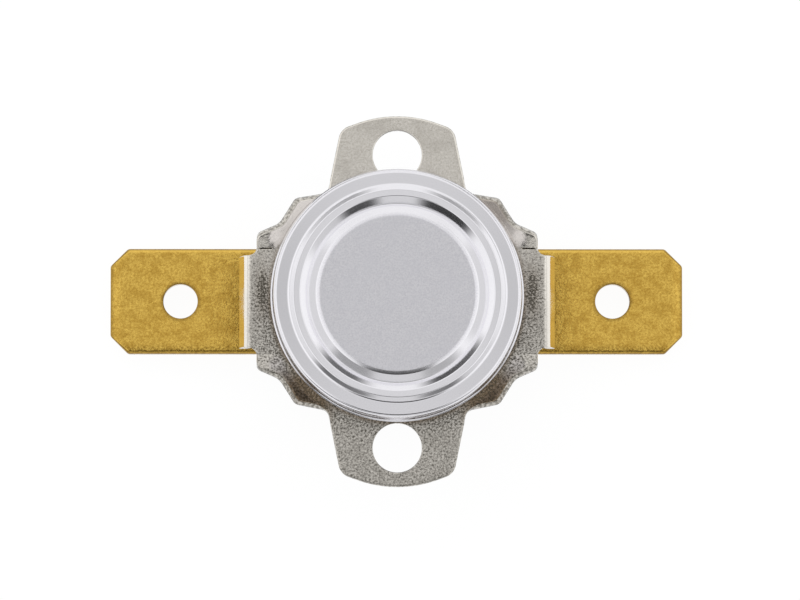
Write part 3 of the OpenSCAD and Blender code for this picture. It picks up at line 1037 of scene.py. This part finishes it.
@dataclass
class Cap:
    """The drawn aluminium cap, turned from its section."""

    wall: float = 0.4
    flare: float = 0.17
    ring_w: float = 0.9
    ring_drop: float = 0.03
    bead_rise: float = 0.2
    bead_run: float = 0.3
    bead_w: float = 0.38
    bead_drop: float = 0.03
    groove_out_w: float = 0.46
    groove_in_w: float = 0.59
    groove_depth: float = 0.165
    bevel_out: float = 0.13
    bevel_in: float = 0.1
    bevel_drop: float = 0.085
    lip_t: float = 0.35
    lip_r: float = 6.58
    edge_r: float = 0.24
    ring_fillet_r: float = 0.3
    fillet_r: float = 0.12
    bevel_r: float = 0.1
    face_edge_r: float = 0.35
    groove_r: float = 0.06
    flare_rise: float = 0.11
    flare_edge: float = 0.05
    flare_r: float = 0.2
    support: float = 0.005
    flank_draw: float = 0.4
    face_fade: float = 0.2
    arc_steps: int = 7
    segments: int = 288

    def build(self, lathe: LatheTree) -> bpy.types.Object:
        """Turns the cap in the CAD cap's place.

        Args:
            lathe: The tree that turns sections.

        Returns:
            The finished cap.
        """
        low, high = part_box("cap")
        rim = (high.x - low.x) / 2 / MM
        base, face = low.z / MM, high.z / MM
        ring = face - self.bead_rise
        top_r = rim - self.flare
        skirt = top_r - self.wall
        ring_in = top_r - self.ring_w
        bead_out = ring_in - self.bead_run
        bead_in = bead_out - self.bead_w
        groove = bead_in - self.groove_out_w
        face_r = groove - self.groove_in_w
        floor = ring - self.groove_depth
        under, ceiling, lip = face - self.wall, ring - self.wall, base + self.lip_t
        section = Outline([
            Corner(0, under), Corner(face_r - self.wall / 2, under), Corner(groove, floor - self.wall),
            Corner(bead_in, under), Corner(bead_out, under), Corner(ring_in, ceiling),
            Corner(skirt, ceiling), Corner(skirt, lip), Corner(self.lip_r, lip),
            Corner(self.lip_r, base), Corner(rim, base, self.flare_edge / 3),
            Corner(rim, base + self.flare_edge, self.flare_edge / 3),
            Corner(top_r + self.flare_edge / 2, base + self.flare_edge + self.flare_rise, self.flare_r),
            Corner(top_r, ring - self.ring_drop, self.edge_r), Corner(ring_in, ring, self.ring_fillet_r),
            Corner(bead_out, face, self.fillet_r), Corner(bead_in, face - self.bead_drop, self.fillet_r),
            Corner(groove, floor, self.groove_r),
            Corner(face_r + self.bevel_out, face - self.bevel_drop, self.bevel_r),
            Corner(face_r - self.bevel_in, face, self.face_edge_r), Corner(0, face)])
        points = section.points(0.0, arc_steps=self.arc_steps, support=self.support)
        finish = FINISHES[Slot.CAP]
        piece = lathe.turn("cap_shell", points, axis_of("cap"), self.segments, finish)
        away = np.hypot(*(point_places(piece)[:, :2] - (0.0, axis_of("cap"))).T)
        flank = progress(away - top_r + self.edge_r, self.edge_r)
        worked = progress(away - face_r + self.face_fade / 2, self.face_fade)
        # Worked places are smoother and carry the finish's painted sheen; the flank carries less.
        mark_points(piece, Mark.WORKED, worked * (1 - self.flank_draw * flank))
        seat_piece(piece, Slot.CAP, "cap")
        return piece


@dataclass(frozen=True)
class FlangeCorner:
    """A corner of a raised flange, placed from the cap's axis.

    Attributes:
        reach: Distance beyond the cap.
        angle_deg: Angle from the X axis.
        r: Radius that rounds it.
    """

    reach: float
    angle_deg: float
    r: float

    def corner(self, cap_r: float) -> Corner:
        """The corner seen from above, for a cap of a given radius."""
        out, turn = cap_r + self.reach, math.radians(self.angle_deg)
        return Corner(out * math.cos(turn), out * math.sin(turn), self.r)


@dataclass(frozen=True)
class BracketShadeAndWear:
    """Painted shade on the bracket, and scuffs on its plating.

    Attributes:
        bright_y: Place along Y behind which no front shade is painted.
        front_shade_run: Length over which the painted shade grows darker towards the front.
        cap_shade: Strength of the painted contact shade beside the cap.
        cap_shade_w: Width of that painted shade.
        front_shade_strength: Strength of the brown painted shade on the two front flanges.
        flange_shade_from: Angle from the X axis where a flange's painted shade starts.
        flange_shade_to: Angle where it ends.
        flange_shade_fade: Angle over which it fades in and out.
        back_flange_shade: Strength of the brown painted shade on the right back flange.
        wing_shade: Strength of the painted contact shade on the wings beside the cap; above 1 it widens
            its dark middle.
        wing_shade_brown: Share of brown in that painted shade.
        wing_shade_x: Middle of that shade along X, on either side.
        wing_shade_y: Middle of that shade along Y.
        wing_shade_w: Half width of that shade.
        wing_shade_h: Half height of that shade.
        scuff: Share of specks on the wings and the front.
        cap_shade_specks: Share of specks added beside the cap, part of the painted shade there.
        cap_shade_specks_w: Width of the speckled band beside the cap.
    """

    bright_y: float = 6.0
    front_shade_run: float = 6.5
    cap_shade: float = 0.75
    cap_shade_w: float = 0.16
    front_shade_strength: float = 0.9
    flange_shade_from: float = 29.0
    flange_shade_to: float = 63.0
    flange_shade_fade: float = 9.0
    back_flange_shade: float = 0.5
    wing_shade: float = 1.35
    wing_shade_brown: float = 0.3
    wing_shade_x: float = 7.93
    wing_shade_y: float = 0.55
    wing_shade_w: float = 0.42
    wing_shade_h: float = 1.45
    scuff: float = 0.4
    cap_shade_specks: float = 0.35
    cap_shade_specks_w: float = 1.1

    def mark(self, piece: bpy.types.Object, bracket: "Bracket") -> None:
        """Stores the painted shade and the scuffs on a bracket's points.

        Args:
            piece: The bracket's mesh.
            bracket: The sizes that it was made from.
        """
        x, y, _ = point_places(piece).T
        out = np.abs(x)
        # Painted shade: the plate grows darker towards the front.
        front = progress(self.bright_y - y, self.front_shade_run)
        lugs = progress(out - bracket.bend_x, bracket.lug_bend_r)
        # Painted contact shade on the wings beside the cap.
        dark_patch = np.minimum(1, self.wing_shade * np.exp(
            -((out - self.wing_shade_x) / self.wing_shade_w) ** 2 - ((y - self.wing_shade_y) / self.wing_shade_h) ** 2))
        from_cap = np.hypot(x, y - axis_of("cap")) - bracket.cap_r
        turn = np.degrees(np.arctan2(-y, out))
        # Brown painted shades, kept at their strongest where they overlap.
        painted_shades = (self.wing_shade_brown * dark_patch,
                  # painted contact shade beside the cap
                  self.cap_shade * front * np.exp(-(from_cap / self.cap_shade_w) ** 2),
                  # painted shade on the front flanges and on the right back flange
                  self.front_shade_strength * self._on_flange(turn),
                  self.back_flange_shade * (x > 0) * self._on_flange(-turn))
        wings = progress(out - bracket.cap_r, self.wing_shade_w) * (np.abs(y) < bracket.fold_w / 2)
        # Specks beside the cap deepen the painted shade there.
        beside_cap = front * np.exp(-(np.clip(from_cap, 0, None) / self.cap_shade_specks_w) ** 2)
        scuff = self.scuff * np.maximum(wings, front) + self.cap_shade_specks * beside_cap
        mark_points(piece, Mark.SHADE_AND_DARK_EDGES, np.max(painted_shades, axis=0))
        # The front's painted shade, left off the lugs.
        mark_points(piece, Mark.FRONT_SHADE, front * (1 - lugs))
        mark_points(piece, Mark.SCUFFS_AND_SHADE, (1 - lugs) * np.maximum(dark_patch, scuff))

    def _on_flange(self, turn: Points) -> Points:
        """1 over the angles that a flange takes up, faded at both ends."""
        return progress(turn - self.flange_shade_from, self.flange_shade_fade) * progress(
            self.flange_shade_to - turn, self.flange_shade_fade)


@dataclass
class Bracket:
    """The stamped bracket: flat ears, wings with lugs bent down, four raised corner flanges."""

    sheet_t: float = 0.5
    cap_r: float = 7.5
    hole_r: float = 6.93
    ear_hole_r: float = 1.45
    ear_hole_y: float = 8.65
    ear_rim: float = 0.85
    ear_tip_w: float = 6.7
    ear_end_r: float = 7.0
    ear_end_half_angle: float = 20.0
    ear_corner_r: float = 0.9
    wing_reach: float = 0.78
    lug_reach: float = 1.04
    lug_w: float = 5.44
    lug_angle: float = 78.0
    lug_bend_r: float = 0.55
    lug_flap: float = 1.3
    lug_corner_r: float = 0.14
    notch_r: float = 0.5
    flange: tuple[FlangeCorner, ...] = (
        FlangeCorner(1.72, 26.0, 0.4), FlangeCorner(0.86, 33.5, 1.0),
        FlangeCorner(1.08, 45.3, 0.5), FlangeCorner(0.16, 57.6, 0.5))
    root_inset: float = 0.15
    root_fade: float = 0.8
    flange_slope: float = 32.0
    fold_slope: float = 26.0
    fold_w: float = 6.5
    fold_gap: float = 0.18
    crease: float = 0.3
    fold_round: float = 0.22
    roll: float = 0.12
    lug_roll: float = 0.04
    hole_roll: float = 0.06
    burr: float = 0.03
    shade_and_wear: BracketShadeAndWear = BracketShadeAndWear()
    step: float = 0.07
    arc_steps: int = 8
    grid_step: float = 0.15
    lug_grid_step: float = 0.06
    plate_z: float = 0.0

    CREASE_SHARE = 0.9  # share of a fold's height that a crease may round at most

    def _quadrant(self) -> list[Corner]:
        """Corners of the flat blank in the first quadrant, from the lug to the ear.

        Returns:
            The corners in order.
        """
        tip = self.bend_x + self.lug_bend_r * math.radians(self.lug_angle) + self.lug_flap
        lug = [Corner(tip, self.lug_w / 2, self.lug_corner_r),
               Corner(self.cap_r + self.wing_reach, self.lug_w / 2, self.notch_r)]
        flange = [corner.corner(self.cap_r) for corner in self.flange]
        half = self.ear_tip_w / 2
        ear = Corner(half, self.ear_apex - half * math.tan(math.radians(self.ear_end_half_angle)),
                     self.ear_corner_r)
        return [*lug, *flange, ear]

    @property
    def bend_x(self) -> float:
        """Where the lugs start to bend."""
        return self.cap_r + self.lug_reach

    @property
    def ear_apex(self) -> float:
        """Where the two sloping sides of an ear's end would meet."""
        tip = self.ear_hole_y + self.ear_hole_r + self.ear_rim
        return tip - self.ear_end_r + self.ear_end_r / math.cos(math.radians(self.ear_end_half_angle))

    def outline(self) -> Outline:
        """The whole outline of the flat blank.

        Returns:
            The closed outline.
        """
        right = self._quadrant()
        left = [Corner(-c.x, c.y, c.r) for c in reversed(right)]
        upper = [*right, Corner(0, self.ear_apex, self.ear_end_r), *left]
        return Outline([*upper, *(Corner(-c.x, -c.y, c.r) for c in upper)])

    @staticmethod
    def _ramp(distance: Points, width: float) -> Points:
        """Distance past a fold line, zero before it, with the fold rounded over a width."""
        eased = np.clip(distance + width, 0, 2 * width) ** 2 / (4 * width)
        return np.where(distance > width, distance, eased)

    def rise(self, flat: Points) -> Points:
        """Height of the bracket's underside, with its corner flanges raised.

        Args:
            flat: Points seen from above, from the bracket's centre.

        Returns:
            One height for each point.
        """
        x, y = np.abs(flat[:, 0]), np.abs(flat[:, 1])
        cone = self._ramp(np.hypot(x, y) - self.cap_r - self.fold_gap - self.fold_round / 2,
                          self.fold_round) * math.tan(math.radians(self.flange_slope))
        plane = self._ramp(y - self.fold_w / 2, self.fold_round / 2) * math.tan(
            math.radians(self.fold_slope))
        soft = np.minimum(self.crease, self.CREASE_SHARE * np.maximum(cone, plane)) + TINY
        share = np.clip(soft - np.abs(cone - plane), 0, None) / soft
        flange = np.minimum(cone, plane) - share ** 2 * soft / 4
        root = self.flange[-1].corner(self.cap_r).x
        fade = progress(x - root + self.root_inset, self.root_fade)
        return self.plate_z - self.sheet_t + flange * fade * fade * (3 - 2 * fade)

    def form(self, flat: Points, depth: Points) -> Points:
        """Presses the flat blank: corner flanges up and lugs down.

        Args:
            flat: Points of the blank.
            depth: Distance below the upper face.

        Returns:
            The points in place.
        """
        plate = height_form(self.rise, self.sheet_t)(flat, depth)
        x, y = flat.T
        depth = depth[:, 0]
        past = np.clip(np.abs(x) - self.bend_x, 0, None)
        bend = math.radians(self.lug_angle)
        turn = np.minimum(past / self.lug_bend_r, bend)
        run = np.clip(past - self.lug_bend_r * bend, 0, None)
        out = self.bend_x + (self.lug_bend_r - depth) * np.sin(turn) + run * math.cos(bend)
        z = self.plate_z + (self.lug_bend_r - depth) * np.cos(turn) - self.lug_bend_r
        lugs = np.column_stack((np.sign(x) * out, y, z - run * math.sin(bend)))
        return np.where((past > 0)[:, None], lugs, plate)

    def build(self) -> bpy.types.Object:
        """Makes the bracket in the CAD bracket's place.

        Returns:
            The finished bracket.
        """
        self.plate_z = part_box("cap")[0].z / MM
        outer = self.outline().points(self.step, self.arc_steps)
        holes = [circle_points(0, 0, self.hole_r, 2 * self.step)]
        holes += [circle_points(0, side * self.ear_hole_y, self.ear_hole_r, self.step)
                  for side in (-1, 1)]
        roll = np.where(np.abs(outer[:, 0]) > self.bend_x, self.lug_roll, self.roll)
        stamping = Stamping(outer, holes, self.sheet_t, roll, self.hole_roll, self.burr, self.form,
                            self._grid())
        piece = stamping.build("bracket_sheet")
        self.shade_and_wear.mark(piece, self)
        FINISHES[Slot.BRACKET].dress(piece)
        seat_piece(piece, Slot.BRACKET, "bracket")
        return piece

    def _grid(self) -> Points:
        """Sample points: even over the plate, closer over the bent lugs.

        Returns:
            An array of points, one row each.
        """
        near = self.bend_x - self.lug_grid_step
        tip = self.bend_x + 2 * self.lug_bend_r + self.lug_flap
        half = self.lug_w / 2
        plate = point_net(-near, near, -self.ear_apex, self.ear_apex, self.grid_step)
        lugs = [point_net(*ends, -half, half, self.lug_grid_step)
                for ends in ((-tip, -near), (near, tip))]
        return np.vstack([plate, *lugs])


@dataclass
class Blade:
    """A brass blade terminal, stamped from strip."""

    side: int
    chamfer: float = 1.05
    corner_r: float = 0.28
    hole_r: float = 1.025
    hole_inset: float = 4.18
    rivet_x: float = 3.922
    rivet_hole_r: float = 0.634
    bevel_w: float = 0.6
    bevel_h: float = 0.07
    roll: float = 0.25
    tip_roll: float = 0.07
    hole_roll: float = 0.07
    burr: float = 0.03
    front_shade_strength: float = 0.8
    front_shade_w: float = 0.6
    edge_darkening: float = 0.7
    edge_w: float = 0.12
    step: float = 0.1
    hole_step: float = 0.08
    arc_steps: int = 4
    grid_step: float = 0.2

    @property
    def hand(self) -> str:
        """The side that the blade's names end with."""
        return "right" if self.side > 0 else "left"

    @property
    def node(self) -> str:
        """Name of the CAD node that this blade stands for."""
        return f"terminal_{self.hand}"

    def build(self) -> bpy.types.Object:
        """Makes the blade in its CAD node's place.

        Returns:
            The finished blade.
        """
        low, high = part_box(self.node)
        near, far = sorted((abs(low.x) / MM, abs(high.x) / MM))
        mid, half = (low.y + high.y) / 2 / MM, (high.y - low.y) / 2 / MM
        front, back = mid - half, mid + half
        top, thick = high.z / MM, (high.z - low.z) / MM
        cut = self.chamfer
        corners = [Corner(self.side * x, y, self.corner_r) for x, y in (
            (near, front), (far - cut, front), (far, front + cut),
            (far, back - cut), (far - cut, back), (near, back))]
        outer = Outline(corners[::self.side]).points(self.step, self.arc_steps)
        holes = [circle_points(self.side * (far - self.hole_inset), mid, self.hole_r, self.hole_step),
                 circle_points(self.side * self.rivet_x, mid, self.rivet_hole_r, self.hole_step)]
        grid = point_net(*sorted((self.side * near, self.side * far)), front, back, self.grid_step)
        roll = np.interp(far - np.abs(outer[:, 0]), (0, cut), (self.tip_roll, self.roll))
        stamping = Stamping(outer, holes, thick, roll, self.hole_roll, self.burr,
                            self._form(top, thick, far), grid)
        piece = stamping.build(f"blade_{self.hand}")
        places = point_places(piece)
        from_front = places[:, 1] - front
        from_edge = np.sqrt(nearest_square(places[:, :2], np.vstack([outer, *holes])))
        # Painted shade: the blade grows darker along its front edge.
        mark_points(piece, Mark.FRONT_SHADE,
                    self.front_shade_strength * progress(self.front_shade_w - from_front, self.front_shade_w / 2))
        # A darker band along every edge and round the holes.
        mark_points(piece, Mark.SHADE_AND_DARK_EDGES,
                    self.edge_darkening * progress(self.edge_w - from_edge, self.edge_w / 2))
        FINISHES[Slot.BLADE].dress(piece)
        seat_piece(piece, Slot.BLADE, self.node)
        return piece

    def _form(self, top: float, thick: float, far: float) -> Form:
        """A flat blade whose faces draw together over the lead-in bevel at the tip.

        Args:
            top: Height of the upper face.
            thick: Thickness of the strip.
            far: Distance of the tip along X.

        Returns:
            The form.
        """
        def form(flat: Points, depth: Points) -> Points:
            """Puts blank points on the blade, at a depth below its upper face.

            Args:
                flat: Points of the blank.
                depth: Distance below the upper face.

            Returns:
                The points in place.
            """
            past = np.clip(np.abs(flat[:, 0]) - far + self.bevel_w, 0, self.bevel_w)
            thin = past * self.bevel_h / self.bevel_w
            return np.column_stack((flat, top - thin - depth[:, 0] * (1 - 2 * thin / thick)))
        return form


@dataclass
class Switchgear:
    """The body and the pieces inside it, which keep their CAD shape and get their finish."""

    slots: dict[str, Slot] = field(default_factory=lambda: {
        "body": Slot.BODY, "rivet_left": Slot.RIVET, "rivet_right": Slot.RIVET,
        "pin_guide": Slot.GUIDE, "bimetal_disc": Slot.DISC, "push_pin": Slot.PIN,
        "contact_arm": Slot.ARM, "moving_contact": Slot.CONTACT, "contact_plate": Slot.BLADE,
        "fixed_contact": Slot.CONTACT})

    def dress(self, nodes: dict[str, bpy.types.Object]) -> None:
        """Gives each CAD node its finish.

        Args:
            nodes: The frame's CAD nodes by name.
        """
        for name, slot in self.slots.items():
            FINISHES[slot].dress(nodes[name])
            LOG.info("%s: CAD solid in %s", name, FINISHES[slot].name)


@dataclass(frozen=True)
class TentGap:
    """A dimmer place in the light tent's wall.

    Attributes:
        start_deg: Compass start, anticlockwise from the X axis.
        end_deg: Compass end.
        low: Lower edge, as the upright share of the direction.
        high: Upper edge.
        depth: How much darker it is than the wall.
        soft_deg: How far it fades out to either side.
        soft: How far it fades out above and below.
    """

    start_deg: float
    end_deg: float
    low: float
    high: float
    depth: float
    soft_deg: float = 16.0
    soft: float = 0.06

    def shade(self, graph: Graph, compass: object, upright: object) -> bpy.types.NodeSocket:
        """Adds the gap's nodes.

        Args:
            graph: The world's nodes.
            compass: Direction round the Z axis in degrees.
            upright: Upright share of the direction.

        Returns:
            How much darker the wall is in each direction.
        """
        around = graph.window(compass, self.start_deg, self.end_deg, self.soft_deg)
        upward = graph.window(upright, self.low, self.high, self.soft)
        return graph.math("MULTIPLY", graph.math("MULTIPLY", around, upward), self.depth)


@dataclass
class Studio:
    """Floor, light tent, lamp and camera.

    Attributes:
        image_w: Picture width in pixels.
        image_h: Picture height in pixels.
        px_per_mm: Scale of the picture at the cap's ring.
        ring_z: Height of the cap's ring.
        ring_px: Where the middle of the ring lies in the picture.
        distance: Camera's distance from the ring.
        tilt_deg: How far the camera is tipped to the front.
        lean_deg: How far the camera is tipped to the left.
        sensor: Width of the camera's sensor.
        clip_m: Nearest and farthest distance that the camera sees.
        overhead: Tent's level where level metal mirrors it.
        overhead_ends: Level round that place.
        overhead_reach: How far the darker place reaches, as a share of the direction.
        overhead_stretch: How much wider it is along X, as a factor on that share.
        top_band: Upright shares of the direction between which the walls turn into the top.
        wall_level: Level of the front and back walls.
        side_level: Level of the side walls.
        side_band: Sideways shares of the direction between which the walls turn into the sides.
        gaps: Dimmer places in the walls.
        floor_reach_m: Half width of the floor.
        floor_z_m: Height of the floor.
        floor_tones: Two greys that the floor varies between.
        floor_grain: Scale of that variation.
        floor_glow: Brightness of the floor for the camera.
        floor_seen: Share of that brightness; the rest keeps a faint shadow.
        key_size_m: Width and depth of the lamp.
        key_watts: Power of the lamp.
        key_place_m: Place of the lamp.
        key_aim_z_m: Height on the Z axis that the lamp points at.
    """

    image_w: int = 800
    image_h: int = 600
    px_per_mm: float = 17.05
    ring_z: float = 9.55
    ring_px: tuple[float, float] = (397.5, 293.1)
    distance: float = 400.0
    tilt_deg: float = 3.5
    lean_deg: float = 0.46
    sensor: float = 36.0
    clip_m: tuple[float, float] = (0.01, 10.0)
    overhead: float = 0.45
    overhead_ends: float = 0.78
    overhead_reach: float = 0.1
    overhead_stretch: float = 0.5
    top_band: tuple[float, float] = (0.92, 0.96)
    wall_level: float = 1.0
    side_level: float = 1.08
    side_band: tuple[float, float] = (0.6, 0.85)
    gaps: tuple[TentGap, ...] = (
        TentGap(225, 249, 0.28, 0.41, 0.985),  # front left corner and the slit above it
        TentGap(226, 246, 0.46, 0.56, 0.6),
        TentGap(290, 302, 0.28, 0.41, 0.95),  # front right corner and the slit above it
        TentGap(295, 310, 0.46, 0.56, 0.5),
        TentGap(308, 330, 0.28, 0.40, 0.35),  # beside the front right corner
        TentGap(114, 138, 0.18, 0.30, 0.98, soft=0.05),  # back left corner
        TentGap(49, 63, 0.18, 0.30, 0.9, soft=0.05),  # back right corner and the panel beside it
        TentGap(28, 56, 0.52, 0.62, 0.5),
        TentGap(150, 210, 0.41, 0.52, 0.28),  # left panel
        TentGap(-1, 30, 0.41, 0.52, 0.28),  # right panel, in two parts where the compass starts
        TentGap(340, 361, 0.41, 0.52, 0.28),
        TentGap(240, 300, 0.28, 0.66, 0.26),  # front panel
        TentGap(250, 290, 0.72, 0.92, 0.93),  # opening high at the front
    )
    floor_reach_m: float = 1.5
    floor_z_m: float = -0.00002
    floor_tones: tuple[float, float] = (0.90, 0.94)
    floor_grain: float = 40.0
    floor_glow: float = 1.03
    floor_seen: float = 0.92
    key_size_m: tuple[float, float] = (0.30, 0.2)
    key_watts: float = 0.18
    key_place_m: tuple[float, float, float] = (-0.12, 0.30, 0.30)
    key_aim_z_m: float = 0.006

    def build(self) -> None:
        """Adds the floor, world, lamp and camera."""
        bpy.context.scene.view_settings.view_transform = "Standard"
        self._floor()
        self._world()
        self._lamp()
        self._camera()

    def _floor(self) -> None:
        """A pale floor under the part that shows white to the camera and keeps a faint shadow."""
        mesh = bpy.data.meshes.new("floor")
        corners = ((-1, -1), (1, -1), (1, 1), (-1, 1))
        mesh.from_pydata([(x * self.floor_reach_m, y * self.floor_reach_m, self.floor_z_m)
                          for x, y in corners], [], [(0, 1, 2, 3)])
        floor = link_object("floor", mesh)
        material = bpy.data.materials.new("pale_floor")
        material.use_nodes = True
        graph = Graph(material.node_tree)
        place = graph.add("ShaderNodeTexCoord").outputs["Object"]
        tone = graph.add("ShaderNodeTexNoise", {"Vector": place, "Scale": self.floor_grain})
        pale = graph.mix(tone.outputs[0], *((level,) * 3 for level in self.floor_tones))
        lit = graph.add("ShaderNodeBsdfDiffuse", {"Color": pale})
        glow = graph.add("ShaderNodeEmission", {"Color": WHITE, "Strength": self.floor_glow})
        path = graph.add("ShaderNodeLightPath").outputs
        mirrored = graph.math("MAXIMUM", path["Is Glossy Ray"], path["Is Transmission Ray"])
        seen = graph.math("MAXIMUM", path["Is Camera Ray"], mirrored)
        blend = graph.add("ShaderNodeMixShader", {
            0: graph.math("MULTIPLY", seen, self.floor_seen), 1: lit.outputs[0], 2: glow.outputs[0]})
        graph.add("ShaderNodeOutputMaterial", {"Surface": blend.outputs[0]})
        mesh.materials.append(material)

    def _world(self) -> None:
        """A light tent: white sides, a greyer top, a dimmer front and dark gaps at its corners."""
        world = bpy.data.worlds.new("light_tent")
        world.use_nodes = True
        bpy.context.scene.world = world
        graph = Graph(world.node_tree)
        direction = graph.add("ShaderNodeTexCoord").outputs["Generated"]
        x, y, z = graph.add("ShaderNodeSeparateXYZ", {0: direction}).outputs
        sides, top = self._sides(graph, x, y, z), graph.ramp(z, *self.top_band)
        level = graph.math("ADD", graph.math("MULTIPLY", sides, graph.math("SUBTRACT", 1.0, top)),
                           graph.math("MULTIPLY", top, self._overhead(graph, x, y)))
        path = graph.add("ShaderNodeLightPath").outputs
        shown = graph.math("MAXIMUM", path["Is Camera Ray"], path["Is Transmission Ray"])
        strength = graph.math("MAXIMUM", shown, level)
        sky = graph.add("ShaderNodeBackground", {"Color": WHITE, "Strength": strength})
        graph.add("ShaderNodeOutputWorld", {"Surface": sky.outputs[0]})

    def _sides(self, graph: Graph, x: object, y: object, z: object) -> bpy.types.NodeSocket:
        """Level of the tent's walls with their gaps, from the parts of the direction.

        Args:
            graph: The world's nodes.
            x: Part of the direction along X.
            y: Part along Y.
            z: Part along Z.

        Returns:
            The level's output.
        """
        angle = graph.math("ARCTAN2", y, x)
        compass = graph.math("WRAP", graph.math("MULTIPLY", angle, 180 / math.pi), 360.0, 0.0)
        shade = 0.0
        for gap in self.gaps:
            shade = graph.math("MAXIMUM", shade, gap.shade(graph, compass, z))
        across = graph.math("ABSOLUTE", graph.math("COSINE", angle))
        wall = graph.ramp(across, *self.side_band, self.wall_level, self.side_level)
        return graph.math("MULTIPLY", wall, graph.math("SUBTRACT", 1.0, shade))

    def _overhead(self, graph: Graph, x: object, y: object) -> bpy.types.NodeSocket:
        """Level of the tent's top, darkest where level metal mirrors it to the camera.

        Args:
            graph: The world's nodes.
            x: Part of the direction along X.
            y: Part along Y.

        Returns:
            The level's output.
        """
        off_x = graph.math("MULTIPLY", x, self.overhead_stretch)
        off_y = graph.math("SUBTRACT", y, math.sin(math.radians(self.tilt_deg)))
        squares = graph.math("ADD", *(graph.math("MULTIPLY", off, off) for off in (off_x, off_y)))
        return graph.ramp(graph.math("SQRT", squares), 0.0, self.overhead_reach, self.overhead,
                          self.overhead_ends)

    def _lamp(self) -> None:
        """A broad key from behind and above."""
        lamp = bpy.data.lights.new("key_softbox", "AREA")
        lamp.shape, lamp.energy = "RECTANGLE", self.key_watts
        lamp.size, lamp.size_y = self.key_size_m
        key = link_object("key_softbox", lamp)
        key.location = self.key_place_m
        aim = Vector((0, 0, self.key_aim_z_m)) - key.location
        key.rotation_euler = aim.to_track_quat("-Z", "Y").to_euler()
        key.visible_glossy = False

    def _camera(self) -> None:
        """Camera above the cap, tipped slightly to the front and to the left."""
        lens = bpy.data.cameras.new("camera")
        seen_w = self.image_w / self.px_per_mm
        lens.sensor_width, lens.lens = self.sensor, self.sensor * self.distance / seen_w
        lens.clip_start, lens.clip_end = self.clip_m
        camera = link_object("camera", lens)
        tilt, lean = math.radians(self.tilt_deg), math.radians(self.lean_deg)
        back = Vector((-math.sin(lean), -math.sin(tilt), math.cos(tilt) * math.cos(lean))).normalized()
        up = (Vector((0, 1, 0)) - back * back.y).normalized()
        right = up.cross(back)
        off_x = (self.image_w / 2 - self.ring_px[0]) / self.px_per_mm
        off_y = (self.ring_px[1] - self.image_h / 2) / self.px_per_mm
        ring = Vector((0.0, axis_of("cap"), self.ring_z))
        aim = ring + right * off_x + up * off_y
        place = (aim + back * self.distance) * MM
        turn = Matrix((right, up, back)).transposed().to_4x4()
        camera.matrix_world = Matrix.Translation(place) @ turn
        bpy.context.scene.camera = camera


def main() -> None:
    """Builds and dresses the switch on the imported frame."""
    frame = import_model()
    Cap().build(LatheTree())
    Bracket().build()
    for side in (-1, 1):
        Blade(side).build()
    Switchgear().dress(frame["nodes"])
    Studio().build()


if __name__ == "__main__":
    main()
